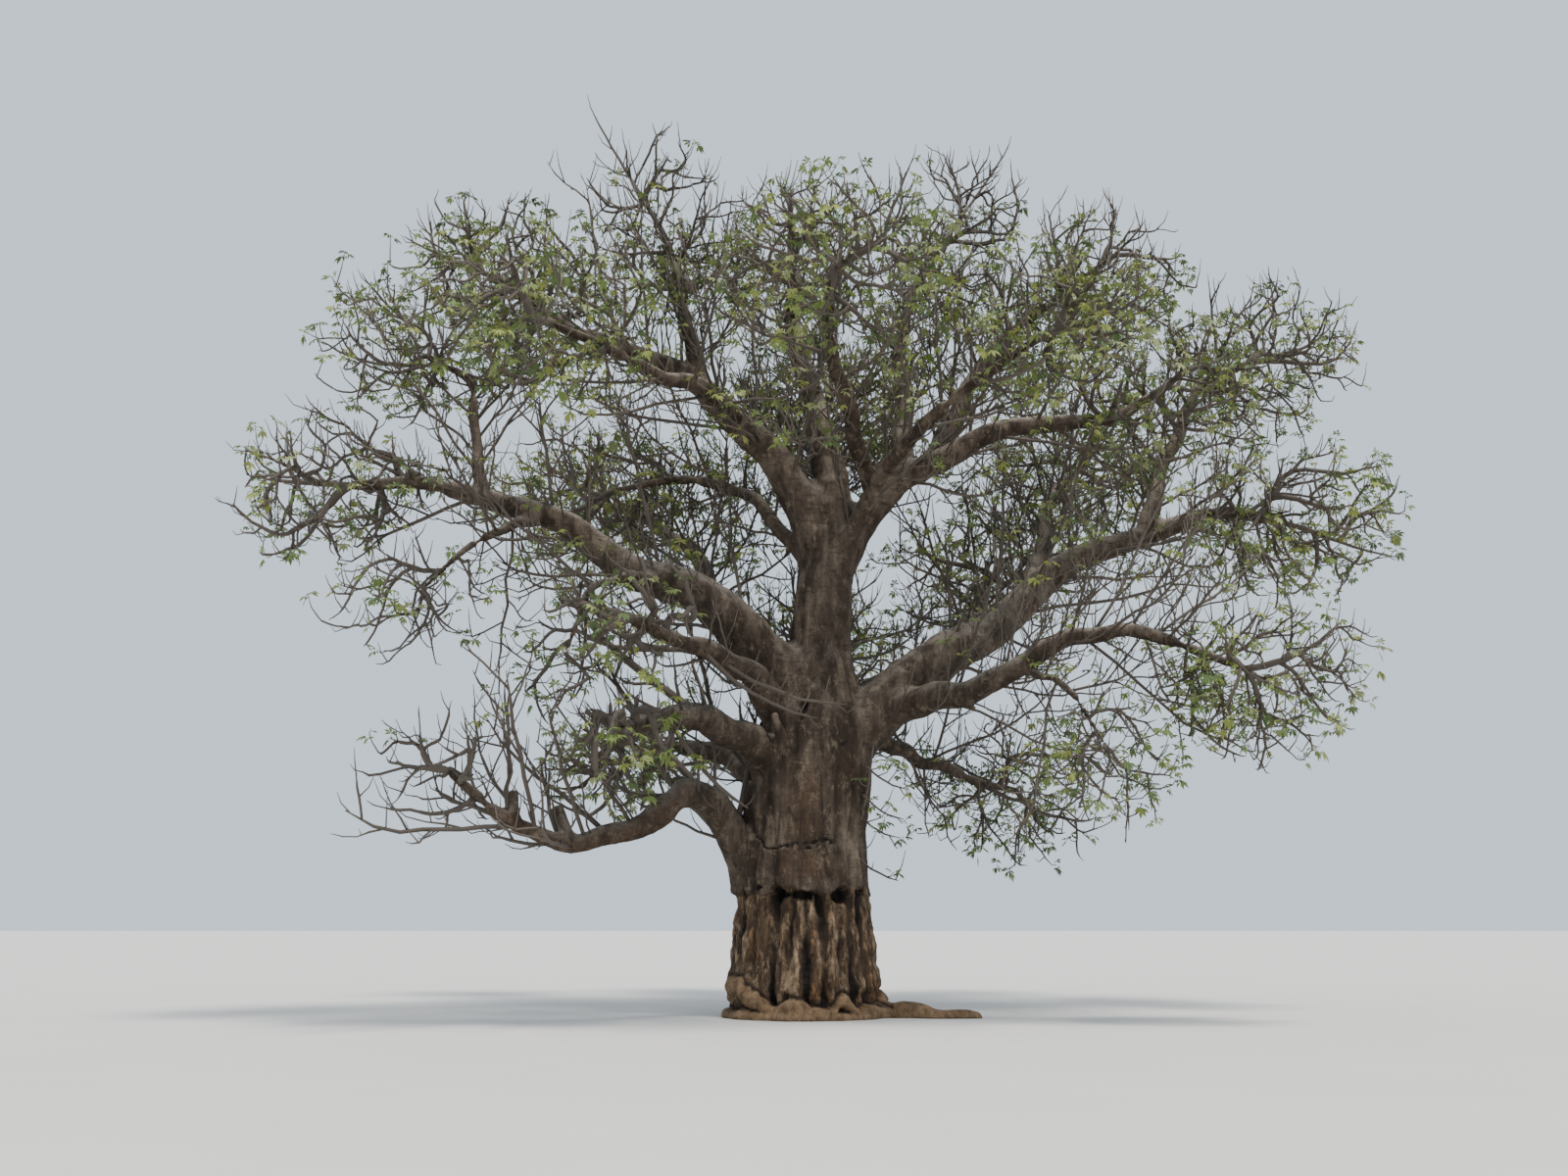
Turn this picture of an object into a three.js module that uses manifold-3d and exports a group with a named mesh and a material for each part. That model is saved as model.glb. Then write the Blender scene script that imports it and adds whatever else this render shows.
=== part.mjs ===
// A baobab tree in young leaf: a stout trunk with swollen roots round its foot, crooked tapering
// boughs, and masses of leafy twigs. Millimetres, +Z up. The origin is the middle of the flat cut at
// ground level. Headings turn from +X (right) through +Y (back): 180 is left and 270 is the front.

import * as THREE from "three";
import { mergeVertices } from "three/addons/utils/BufferGeometryUtils.js";
import Module from "manifold-3d";

const wasm = await Module();
wasm.setup();

const METRE = 1000;
const TURN = 2 * Math.PI;
const UP = new THREE.Vector3(0, 0, 1);
const CLEARANCE = 0.35; // between pieces that touch
const MERGE = 1e-3; // corners closer than this are one
const SLIVER = 0.1; // edges shorter than this are closed up

// The trunk: girths are diameters in metres at heights in metres.
const TRUNK_HEIGHT = 8.7;
const TRUNK_GIRTHS = [
  [0, 3.0], [0.2, 2.9], [0.45, 2.6], [0.8, 2.48], [1.3, 2.4], [1.9, 2.28], [2.4, 2.16], [3.0, 2.03],
  [3.9, 1.94], [4.7, 1.8], [5.4, 1.46], [6.2, 1.02], [7.3, 0.87], [8.0, 0.82], [TRUNK_HEIGHT, 0.76],
];
const TRUNK_LEAN = 0.5; // how far the fork stands to the right of the foot
const TRUNK_WAIST = 2.6; // height where the lean begins
const TRUNK_SIDES = 24;
const TRUNK_RINGS = 13;
const RING_CROWDING = 1.5; // rings crowd towards the foot
const TOES = 8; // swellings of the roots round the foot
const TOE_DEPTH = 0.09; // share of the radius at the ground
const TOE_FADE = 1.2; // height over which the toes die away

const BOUGH_SIDES = 8;
const LIMB_SIDES = 6;
const BOUGH_GIRTH = 0.5; // limbs thicker than this at the foot have the boughs' sides
const RING_SPACING = 1.0;
const HANDLE = 2.7; // a limb's length against its curve's handles
const WAVER = 0.022; // sideways and upward waver of a limb, as a share of its length
const WAVES = [1.6, 2.1]; // turns of the two wavers along a limb
const LIMB_TAPER = 1.2; // above 1 a limb thins faster near its foot
const COLLAR = 0.16; // swelling at a limb's foot
const COLLAR_FADE = 9;

// Every limb leaves its parent at a share of the parent's length, and in some cases off its axis by a
// share of its radius. It leaves along a heading and a rise in degrees, and arrives at a place in
// metres along another. Girths are diameters in metres at foot and tip.
const LIMBS = {
  root_right: {
    from: "trunk", at: 0, off: 0.6, leaves: [352, 0],
    reach: [2.9, -0.5, 0.0], arrives: [10, -3], girth: [0.62, 0.2],
  },
  bough_left: {
    from: "trunk", at: 0.61, off: 0.3, leaves: [196, 47],
    reach: [-6.0, -1.9, 8.6], arrives: [188, 14], girth: [1.0, 0.28],
  },
  bough_left_upright: {
    from: "bough_left", at: 0.9, leaves: [165, 72],
    reach: [-5.6, -1.7, 10.3], arrives: [170, 85], girth: [0.25, 0.16],
  },
  bough_left_drooping: {
    from: "bough_left", at: 0.74, leaves: [215, -12],
    reach: [-5.3, -2.2, 7.6], arrives: [205, -35], girth: [0.22, 0.14],
  },
  bough_left_hanging: {
    from: "bough_left", at: 0.42, leaves: [222, 4],
    reach: [-3.6, -2.5, 6.3], arrives: [215, -78], girth: [0.2, 0.12],
  },
  bough_left_slender: {
    from: "trunk", at: 0.83, leaves: [160, 58],
    reach: [-2.0, 1.2, 9.6], arrives: [172, 8], girth: [0.32, 0.2],
  },
  bough_left_second: {
    from: "trunk", at: 0.54, off: 0.4, leaves: [208, 44],
    reach: [-1.9, -2.3, 5.9], arrives: [208, 8], girth: [0.62, 0.3],
  },
  bough_left_third: {
    from: "trunk", at: 0.43, off: 0.4, leaves: [202, 48],
    reach: [-2.3, -2.1, 4.7], arrives: [202, -12], girth: [0.72, 0.4],
  },
  bough_left_fourth: {
    from: "trunk", at: 0.42, off: 0.4, leaves: [158, 32],
    reach: [-2.3, 1.9, 4.7], arrives: [160, 6], girth: [0.48, 0.3],
  },
  bough_left_low: {
    from: "trunk", at: 0.24, off: 0.75, leaves: [192, 74],
    reach: [-2.15, -1.35, 3.45], arrives: [208, -46], girth: [0.7, 0.42],
  },
  bough_left_low_outer: {
    from: "bough_left_low", at: 1, leaves: [208, -46],
    reach: [-4.9, -2.8, 3.3], arrives: [190, 42], girth: [0.42, 0.2],
  },
  bough_right: {
    from: "trunk", at: 0.5, off: 0.3, leaves: [4, 40],
    reach: [7.6, 1.2, 8.95], arrives: [5, 16], girth: [1.04, 0.3],
  },
  bough_right_steep: {
    from: "bough_right", at: 0.84, leaves: [40, 66],
    reach: [7.6, 2.0, 11.5], arrives: [22, 62], girth: [0.34, 0.24],
  },
  bough_right_second: {
    from: "bough_right", at: 0.13, leaves: [322, 8],
    reach: [3.7, -1.6, 5.75], arrives: [346, 34], girth: [0.62, 0.34],
  },
  bough_right_second_outer: {
    from: "bough_right_second", at: 1, leaves: [346, 34],
    reach: [6.0, -2.4, 5.85], arrives: [345, -26], girth: [0.34, 0.2],
  },
  bough_right_hanging: {
    from: "bough_right_second", at: 0.92, leaves: [325, -20],
    reach: [4.4, -2.1, 4.95], arrives: [340, -62], girth: [0.16, 0.11],
  },
  bough_right_low: {
    from: "bough_right", at: 0.1, leaves: [42, -42],
    reach: [3.0, 1.9, 4.15], arrives: [30, -22], girth: [0.32, 0.2],
  },
  bough_upper_left: {
    from: "trunk", at: 0.92, off: 0.3, leaves: [187, 72],
    reach: [-3.9, -1.1, 11.6], arrives: [185, 16], girth: [0.76, 0.28],
  },
  bough_upper_left_upright: {
    from: "bough_upper_left", at: 0.62, leaves: [130, 80],
    reach: [-2.1, -0.9, 12.2], arrives: [150, 82], girth: [0.34, 0.22],
  },
  bough_centre: {
    from: "trunk", at: 1, leaves: [62, 84],
    reach: [-0.15, 1.0, 12.4], arrives: [140, 76], girth: [0.7, 0.26],
  },
  bough_upper_right: {
    from: "trunk", at: 0.88, off: 0.4, leaves: [358, 68],
    reach: [5.2, -0.8, 10.1], arrives: [352, -3], girth: [0.64, 0.26],
  },
  bough_upper_right_inner: {
    from: "bough_upper_right", at: 0.36, leaves: [85, 66],
    reach: [2.0, 1.0, 12.9], arrives: [50, 72], girth: [0.42, 0.24],
  },
  bough_upper_right_outer: {
    from: "bough_upper_right", at: 0.44, leaves: [45, 48],
    reach: [4.1, 0.8, 12.5], arrives: [15, 38], girth: [0.4, 0.23],
  },
  bough_front: {
    from: "bough_upper_right", at: 0.24, leaves: [240, 58],
    reach: [0.4, -3.3, 10.7], arrives: [262, 22], girth: [0.34, 0.22],
  },
  bough_front_left: {
    from: "bough_upper_left", at: 0.42, leaves: [238, 34],
    reach: [-2.8, -3.3, 10.3], arrives: [222, 14], girth: [0.36, 0.21],
  },
  bough_front_right: {
    from: "trunk", at: 0.85, leaves: [325, 58],
    reach: [2.4, -2.4, 9.9], arrives: [318, 24], girth: [0.34, 0.22],
  },
  bough_back_inner: {
    from: "bough_right", at: 0.36, leaves: [84, 24],
    reach: [3.7, 3.6, 8.1], arrives: [80, 26], girth: [0.36, 0.22],
  },
  bough_back_left: {
    from: "bough_left", at: 0.24, leaves: [112, 30],
    reach: [-3.3, 4.1, 9.7], arrives: [135, 28], girth: [0.44, 0.24],
  },
  bough_back_right: {
    from: "bough_right", at: 0.56, leaves: [74, 40],
    reach: [5.4, 4.3, 10.4], arrives: [66, 30], girth: [0.38, 0.22],
  },
  bough_back: {
    from: "trunk", at: 0.9, off: 0.3, leaves: [96, 50],
    reach: [0.5, 4.9, 11.9], arrives: [90, 26], girth: [0.5, 0.25],
  },
  bough_back_low: {
    from: "trunk", at: 0.55, off: 0.4, leaves: [97, 34],
    reach: [0.4, 4.9, 6.9], arrives: [92, 6], girth: [0.56, 0.28],
  },
};

// Every mass of foliage grows from its bough's tip and fills a space round a middle, both in metres:
// half its width, depth and height. A lead is one twig that stands out beyond that space.
const MASSES = {
  foliage_far_left: {
    on: "bough_left", middle: [-7.9, -2.0, 8.6], half: [2.0, 1.8, 1.6],
    lead: [-9.2, -2.1, 8.75],
  },
  foliage_left_high: {
    on: "bough_left_upright", middle: [-6.7, -1.5, 11.2], half: [1.9, 1.8, 1.6],
  },
  foliage_left_drooping: {
    on: "bough_left_drooping", middle: [-6.2, -2.9, 6.5], half: [1.7, 1.5, 1.2],
  },
  foliage_left_hanging: {
    on: "bough_left_hanging", middle: [-3.8, -2.8, 5.5], half: [1.0, 1.0, 1.2],
  },
  foliage_left_inner: {
    on: "bough_left_slender", middle: [-3.9, 2.0, 9.6], half: [2.4, 1.8, 1.6],
  },
  foliage_left_front: {
    on: "bough_left_second", middle: [-2.9, -3.3, 6.2], half: [1.5, 1.4, 1.2],
  },
  foliage_left_middle: {
    on: "bough_left_third", middle: [-2.9, -3.0, 4.4], half: [1.2, 1.3, 1.1],
  },
  foliage_left_back: {
    on: "bough_left_fourth", middle: [-3.5, 2.9, 4.5], half: [1.9, 1.6, 1.3],
  },
  foliage_left_low: {
    on: "bough_left_low_outer", middle: [-5.6, -3.0, 3.9], half: [1.4, 1.2, 1.2],
  },
  foliage_far_right: {
    on: "bough_right", middle: [9.1, 1.2, 8.8], half: [2.2, 2.0, 1.8],
    lead: [11.0, 1.1, 8.1],
  },
  foliage_right_high: {
    on: "bough_right_steep", middle: [9.1, 2.3, 12.5], half: [2.2, 2.0, 1.9],
  },
  foliage_right_drooping: {
    on: "bough_right_second_outer", middle: [7.1, -2.8, 5.3], half: [2.0, 1.7, 1.6],
  },
  foliage_right_hanging: {
    on: "bough_right_hanging", middle: [4.8, -2.4, 4.1], half: [1.2, 1.1, 1.4],
  },
  foliage_right_low: {
    on: "bough_right_low", middle: [4.2, 2.5, 3.9], half: [2.0, 1.6, 1.6],
  },
  foliage_upper_left: {
    on: "bough_upper_left", middle: [-5.3, -1.0, 12.7], half: [2.2, 1.9, 1.7],
    lead: [-7.0, -1.4, 13.3],
  },
  foliage_top_left: {
    on: "bough_upper_left_upright", middle: [-2.5, -0.8, 13.8], half: [1.8, 1.7, 1.9],
    lead: [-3.8, -1.0, 15.9],
  },
  foliage_top_centre: {
    on: "bough_centre", middle: [-0.2, 0.7, 14.0], half: [1.8, 1.7, 1.8],
  },
  foliage_right_middle: {
    on: "bough_upper_right", middle: [6.3, -1.0, 10.6], half: [2.1, 1.8, 1.5],
  },
  foliage_top: {
    on: "bough_upper_right_inner", middle: [2.8, 1.2, 14.5], half: [2.0, 1.8, 2.0],
    lead: [4.1, 1.4, 16.5],
  },
  foliage_upper_right: {
    on: "bough_upper_right_outer", middle: [5.5, 1.0, 13.6], half: [2.1, 1.9, 1.8],
  },
  foliage_front: {
    on: "bough_front", middle: [0.4, -5.1, 11.2], half: [2.1, 2.0, 1.5],
  },
  foliage_front_left: {
    on: "bough_front_left", middle: [-4.1, -4.7, 10.5], half: [2.1, 2.0, 1.5],
  },
  foliage_front_right: {
    on: "bough_front_right", middle: [3.9, -4.1, 10.6], half: [2.0, 2.0, 1.5],
  },
  foliage_back_inner: {
    on: "bough_back_inner", middle: [3.9, 4.8, 8.7], half: [2.2, 1.8, 1.7],
  },
  foliage_back_left: {
    on: "bough_back_left", middle: [-4.6, 5.6, 10.4], half: [2.3, 2.1, 1.9],
  },
  foliage_back_right: {
    on: "bough_back_right", middle: [6.2, 5.8, 11.2], half: [2.3, 2.1, 1.9],
  },
  foliage_back: {
    on: "bough_back", middle: [0.5, 6.6, 12.6], half: [2.4, 2.1, 1.9],
  },
  foliage_back_low: {
    on: "bough_back_low", middle: [0.4, 6.5, 7.1], half: [2.1, 1.8, 1.6],
  },
};

// Twigs and leaves. The leaves are few and stand for whole sprays. Sizes are in metres.
const SEED = 2110;
const TIPS = 9; // twig ends in a mass
const CANDIDATES = 16; // places tried for each twig end, of which the emptiest is kept
const TIP_DEPTH = 0.84; // how far out in the space the twig ends may lie
const CELL_MARGIN = 0.05; // kept between the spaces of two masses
const KEEP_OFF = 0.02; // kept between twigs and limbs
const PROBE_SPACING = 0.1; // between the places on limbs that twigs keep off
const TWIG_PROBES = [0.4, 0.6, 0.8, 1]; // places on a twig that have to be clear
const THRIFT = 0.3; // how much a joint's own distance from the stem's foot counts against it
const TURN_COST = 0.5; // how much a sharp turn counts against it
const CROWD_COST = 0.5; // how much every twig that it already bears counts against it
const STEM_REACH = 0.8; // share of the way from the stem's foot to the middle
const STEM_GIRTHS = [0.95, 0.55]; // a stem's foot and tip against its bough's tip
const STEM_STEPS = 3; // twigs leave the stem at the ends of its steps
const TWIG_SIDES = 3;
const TWIG_JOINTS = [0.35, 0.6]; // where further twigs leave a twig
const TWIG_GIRTH = 0.65; // a twig's foot against the twig it leaves
const TWIG_SINK = 0.15; // how deep a twig's foot is sunk, in radii of the twig it leaves
const LEAF_LENGTH = 0.85;
const LEAF_WIDTH = 0.4;
const LEAF_THICKNESS = 0.02;
const END_LEAF = 0.78; // where a leaf springs along every twig
const SIDE_LEAF = 0.5; // and along every other one
const LEAF_SPREAD = 1.6; // how far a leaf may turn away from its twig
const LEAF_TRIES = 8; // directions tried for a leaf before it is skipped

const COLOURS = { bark: 0x7d7068, foliage: 0x6f8a4b };

// A repeatable series of numbers from 0 to 1.
function randomFrom(seed) {
  let state = seed >>> 0;
  return () => {
    state = (state + 0x6d2b79f5) >>> 0;
    let mixed = Math.imul(state ^ (state >>> 15), state | 1);
    mixed ^= mixed + Math.imul(mixed ^ (mixed >>> 7), mixed | 61);
    return ((mixed ^ (mixed >>> 14)) >>> 0) / 4294967296;
  };
}

const metres = (place) => new THREE.Vector3(...place).multiplyScalar(METRE);

function heading([compass, rise]) {
  const round = THREE.MathUtils.degToRad(compass);
  const up = THREE.MathUtils.degToRad(rise);
  return new THREE.Vector3(Math.cos(round) * Math.cos(up), Math.sin(round) * Math.cos(up), Math.sin(up));
}

// The trunk's diameter in metres at a height, read off straight lines between the named girths.
function trunkGirth(height) {
  const upper = Math.max(TRUNK_GIRTHS.findIndex(([level]) => level >= height), 1);
  const [[low, wide], [high, narrow]] = [TRUNK_GIRTHS[upper - 1], TRUNK_GIRTHS[upper]];
  return THREE.MathUtils.mapLinear(height, low, high, wide, narrow);
}

class TrunkCurve extends THREE.Curve {
  getPoint(t) {
    const lean = Math.max(TRUNK_HEIGHT * t - TRUNK_WAIST, 0) / (TRUNK_HEIGHT - TRUNK_WAIST);
    return metres([TRUNK_LEAN * lean, 0, TRUNK_HEIGHT * t]);
  }
}

// A limb's line: a Bezier curve between its two ends, with a slight waver that dies at both.
class LimbCurve extends THREE.Curve {
  constructor(start, leaves, end, arrives, phase) {
    super();
    const length = start.distanceTo(end);
    this.line = new THREE.CubicBezierCurve3(
      start, start.clone().addScaledVector(leaves, length / HANDLE),
      end.clone().addScaledVector(arrives, -length / HANDLE), end);
    this.side = end.clone().sub(start).cross(UP).normalize();
    this.phase = phase;
    this.sway = length * WAVER;
  }

  getPoint(t) {
    const sway = this.sway * Math.sin(Math.PI * t) ** 2;
    return this.line.getPoint(t)
      .addScaledVector(this.side, sway * Math.sin(TURN * WAVES[0] * t + this.phase))
      .addScaledVector(UP, sway * Math.sin(TURN * WAVES[1] * t + 2 * this.phase));
  }
}

// A closed tube along a curve: a cylinder whose rings are moved onto it. A pointed tube has no cap
// at its tip, and a grown one is larger by a distance all over.
function tube(curve, sides, rings, radiusAt, { pointed = false, grown = 0 } = {}) {
  const shape = new THREE.CylinderGeometry(pointed ? 0 : 1, 1, 1, sides, rings);
  const { tangents, normals, binormals } = curve.computeFrenetFrames(rings, false);
  const places = shape.getAttribute("position");
  const vertex = new THREE.Vector3();
  for (let i = 0; i < places.count; i++) {
    vertex.fromBufferAttribute(places, i);
    const ring = Math.round((vertex.y + 0.5) * rings);
    const onAxis = Math.hypot(vertex.x, vertex.z) < 1e-6;
    const radius = onAxis ? 0 : radiusAt(ring / rings) + grown;
    const angle = Math.atan2(vertex.z, vertex.x);
    const end = Number(ring === rings) - Number(ring === 0);
    vertex.copy(curve.getPointAt(ring / rings))
      .addScaledVector(tangents[ring], end * grown)
      .addScaledVector(normals[ring], radius * Math.cos(angle))
      .addScaledVector(binormals[ring], -radius * Math.sin(angle));
    places.setXYZ(i, vertex.x, vertex.y, vertex.z);
  }
  return solidOf(shape);
}

function solidOf(geometry) {
  const bare = geometry.clone();
  bare.deleteAttribute("normal");
  bare.deleteAttribute("uv");
  const merged = mergeVertices(bare, MERGE);
  return new wasm.Manifold(new wasm.Mesh({
    numProp: 3,
    vertProperties: merged.getAttribute("position").array,
    triVerts: new Uint32Array(merged.index.array),
  }));
}

function geometryOf(solid) {
  const { numProp, vertProperties, triVerts } = solid.getMesh();
  const places = new Float32Array((vertProperties.length / numProp) * 3);
  for (let i = 0; i < places.length / 3; i++) {
    places.set(vertProperties.subarray(i * numProp, i * numProp + 3), i * 3);
  }
  const geometry = new THREE.BufferGeometry();
  geometry.setAttribute("position", new THREE.BufferAttribute(places, 3));
  geometry.setIndex(new THREE.BufferAttribute(triVerts, 1));
  geometry.computeVertexNormals();
  return geometry;
}

// The one largest body of a solid, without slivers and loose scraps.
function tidied(solid) {
  return solid.simplify(SLIVER).decompose().reduce((a, b) => (b.volume() > a.volume() ? b : a));
}

// The trunk stands on level rings, and its toes swell towards the ground.
function trunkSolid(extra) {
  const shape = new THREE.CylinderGeometry(1, 1, 1, TRUNK_SIDES, TRUNK_RINGS);
  const curve = new TrunkCurve();
  const places = shape.getAttribute("position");
  for (let i = 0; i < places.count; i++) {
    const share = (places.getY(i) + 0.5) ** RING_CROWDING;
    const angle = Math.atan2(-places.getZ(i), places.getX(i));
    const toes = TOE_DEPTH * Math.max(1 - (share * TRUNK_HEIGHT) / TOE_FADE, 0) * Math.cos(TOES * angle);
    const radius = (trunkGirth(share * TRUNK_HEIGHT) / 2) * METRE * (1 + toes) + extra;
    const out = Math.hypot(places.getX(i), places.getZ(i)) < 1e-6 ? 0 : radius;
    const middle = curve.getPoint(share);
    const level = middle.z + (share === 1 ? extra : 0);
    places.setXYZ(i, middle.x + out * Math.cos(angle), middle.y + out * Math.sin(angle), level);
  }
  return solidOf(shape);
}

function limbRadius([foot, tip], t) {
  const girth = tip + (foot - tip) * (1 - t) ** LIMB_TAPER;
  return (girth / 2) * METRE * (1 + COLLAR * (1 - t) ** COLLAR_FADE);
}

function trunkLimb() {
  return {
    curve: new TrunkCurve(),
    radiusAt: (t) => (trunkGirth(t * TRUNK_HEIGHT) / 2) * METRE,
    solid: trunkSolid(0),
    grown: trunkSolid(CLEARANCE),
  };
}

// A limb starts inside its parent, and is cut clear of every limb that came before it.
function buildLimb(limb, parent, before) {
  const leaves = heading(limb.leaves);
  const off = (limb.off ?? 0) * parent.radiusAt(limb.at);
  const start = parent.curve.getPointAt(limb.at)
    .addScaledVector(heading([limb.leaves[0], 0]), off)
    .addScaledVector(leaves, limb.at === 1 ? CLEARANCE : 0);
  const curve = new LimbCurve(start, leaves, metres(limb.reach), heading(limb.arrives), before.length);
  const rings = Math.max(4, Math.round(curve.getLength() / METRE / RING_SPACING));
  const sides = limb.girth[0] > BOUGH_GIRTH ? BOUGH_SIDES : LIMB_SIDES;
  const radiusAt = (t) => limbRadius(limb.girth, t);
  let solid = tube(curve, sides, rings, radiusAt).trimByPlane([0, 0, 1], 0);
  for (const other of before) {
    solid = solid.subtract(other.grown);
  }
  const grown = tube(curve, sides, rings, radiusAt, { grown: CLEARANCE });
  return { curve, radiusAt, solid: tidied(solid), grown };
}

function buildLimbs() {
  const limbs = { trunk: trunkLimb() };
  for (const [name, limb] of Object.entries(LIMBS)) {
    limbs[name] = buildLimb(limb, limbs[limb.from], Object.values(limbs));
  }
  return limbs;
}

// How far out a place lies in a mass's space: 0 at the middle and 1 at the edge.
function depthIn({ middle, half }, place) {
  return Math.hypot(...["x", "y", "z"].map((axis, k) => (place[axis] / METRE - middle[k]) / half[k]));
}

// Whether a place is in a mass's own space, which ends where another mass's begins.
function inSpace(name, place, limit = 1) {
  const own = depthIn(MASSES[name], place);
  return own <= limit && Object.entries(MASSES).every(
    ([other, mass]) => other === name || depthIn(mass, place) > own + CELL_MARGIN);
}

// Places along a limb or stem that only its own mass may come near.
function obstaclesOn({ curve, radiusAt }, owner) {
  const count = Math.ceil(curve.getLength() / METRE / PROBE_SPACING);
  return Array.from({ length: count + 1 }, (_, i) => ({
    place: curve.getPointAt(i / count),
    radius: radiusAt(i / count),
    owner,
  }));
}

// A mass's stem: it goes on from its bough's tip towards the middle of the space.
function buildStem(mass, limb) {
  const foot = limb.curve.getPointAt(1);
  const towards = limb.curve.getTangentAt(1);
  const start = foot.clone().addScaledVector(towards, CLEARANCE);
  const end = foot.clone().lerp(metres(mass.middle), STEM_REACH);
  const length = start.distanceTo(end);
  const curve = new THREE.CubicBezierCurve3(
    start, start.clone().addScaledVector(towards, length / HANDLE), end.clone().lerp(start, 1 / HANDLE), end);
  const radiusAt = (t) => limb.radiusAt(1) * THREE.MathUtils.lerp(...STEM_GIRTHS, t);
  return { curve, radiusAt, foot };
}

// Places for the twigs' ends, spread evenly through the space and sorted by their distance from the
// stem's foot.
function spreadTips(name, mass, foot, random) {
  const tips = [];
  while (tips.length < TIPS) {
    let best = null;
    let widest = -1;
    for (let tried = 0; tried < CANDIDATES; tried++) {
      const place = metres(mass.half.map((half, k) => mass.middle[k] + half * (2 * random() - 1)));
      if (!inSpace(name, place, TIP_DEPTH)) continue;
      const gap = Math.min(depthIn(mass, place) * METRE, ...tips.map((tip) => tip.distanceTo(place)));
      if (gap > widest) [best, widest] = [place, gap];
    }
    if (best) tips.push(best);
  }
  return tips.sort((a, b) => a.distanceTo(foot) - b.distanceTo(foot));
}

// The joint that a new tip is cheapest to reach from.
function nearestJoint(joints, tip) {
  const cost = (joint) => {
    const way = tip.clone().sub(joint.place);
    const turn = 1 - way.clone().normalize().dot(joint.towards);
    return way.length() * (1 + TURN_COST * turn) + THRIFT * joint.travelled + CROWD_COST * METRE * joint.twigs;
  };
  return joints.reduce((a, b) => (cost(b) < cost(a) ? b : a));
}

// A straight twig from a joint to its tip, its foot sunk in what bears it.
function twigLine(joint, tip) {
  const straight = tip.clone().sub(joint.place).normalize();
  return new THREE.LineCurve3(joint.place.clone().addScaledVector(straight, -TWIG_SINK * joint.radius), tip);
}

// A leaf that points along +X from its root, before it is turned and moved into place.
function leafShape() {
  const blade = new THREE.OctahedronGeometry(METRE / 2);
  blade.scale(LEAF_LENGTH, LEAF_WIDTH, LEAF_THICKNESS);
  blade.translate((LEAF_LENGTH / 2) * METRE, 0, 0);
  return blade;
}

// The turn and move that set a leaf on its twig.
function leafSetting(root, along, random) {
  const aside = new THREE.Vector3(random() - 0.5, random() - 0.5, random() - 0.5).multiplyScalar(LEAF_SPREAD);
  const towards = along.clone().add(aside).normalize();
  const turn = new THREE.Quaternion().setFromUnitVectors(new THREE.Vector3(1, 0, 0), towards);
  const roll = new THREE.Quaternion().setFromAxisAngle(new THREE.Vector3(1, 0, 0), random() * Math.PI);
  return new THREE.Matrix4().compose(root, turn.multiply(roll), new THREE.Vector3(1, 1, 1));
}

// Places on a leaf that have to be clear: along its middle and at its two sides.
const LEAF_PROBES = [[0.2, 0], [0.5, 0.5], [0.5, 0], [0.5, -0.5], [0.75, 0], [1, 0]].map(
  ([far, aside]) => metres([far * LEAF_LENGTH, aside * LEAF_WIDTH, 0]));

// A place where twigs can leave.
function jointOn(curve, t, radiusAt, travelled) {
  return {
    place: curve.getPointAt(t),
    towards: curve.getTangentAt(t),
    radius: radiusAt(t),
    travelled: travelled + t * curve.getLength(),
    twigs: 0,
  };
}

function buildMass(name, mass, stem, obstacles, seed) {
  const random = randomFrom(seed);
  const clear = (place, radius) => obstacles.every(({ owner, place: other, radius: thick }) =>
    owner === name || place.distanceTo(other) > thick + radius + KEEP_OFF * METRE);
  const joints = [];
  for (let step = 1; step <= STEM_STEPS; step++) {
    joints.push(jointOn(stem.curve, step / STEM_STEPS, stem.radiusAt, 0));
  }
  const tips = spreadTips(name, mass, stem.foot, random).map((place) => ({ place, isLead: false }));
  if (mass.lead) tips.unshift({ place: metres(mass.lead), isLead: true });

  let solid = tube(stem.curve, TWIG_SIDES, STEM_STEPS, stem.radiusAt);
  for (const [order, { place: tip, isLead }] of tips.entries()) {
    const allowed = (place, radius) => (isLead || inSpace(name, place)) && clear(place, radius);
    const joint = nearestJoint(joints, tip);
    const line = twigLine(joint, tip);
    const radiusAt = (t) => joint.radius * TWIG_GIRTH * (1 - t);
    if (!TWIG_PROBES.every((t) => allowed(line.getPointAt(t), radiusAt(t)))) {
      continue;
    }
    solid = solid.add(tube(line, TWIG_SIDES, 1, radiusAt, { pointed: true }));
    joint.twigs += 1;
    joints.push(...TWIG_JOINTS.map((t) => jointOn(line, t, radiusAt, joint.travelled)));
    for (const root of order % 2 ? [END_LEAF, SIDE_LEAF] : [END_LEAF]) {
      for (let tried = 0; tried < LEAF_TRIES; tried++) {
        const setting = leafSetting(line.getPointAt(root), line.getTangentAt(root), random);
        if (LEAF_PROBES.every((probe) => allowed(probe.clone().applyMatrix4(setting), 0))) {
          solid = solid.add(solidOf(leafShape().applyMatrix4(setting)));
          break;
        }
      }
    }
  }
  return tidied(solid);
}

function meshOf(name, solid, material) {
  const mesh = new THREE.Mesh(geometryOf(solid), material);
  mesh.name = name;
  return mesh;
}

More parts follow.
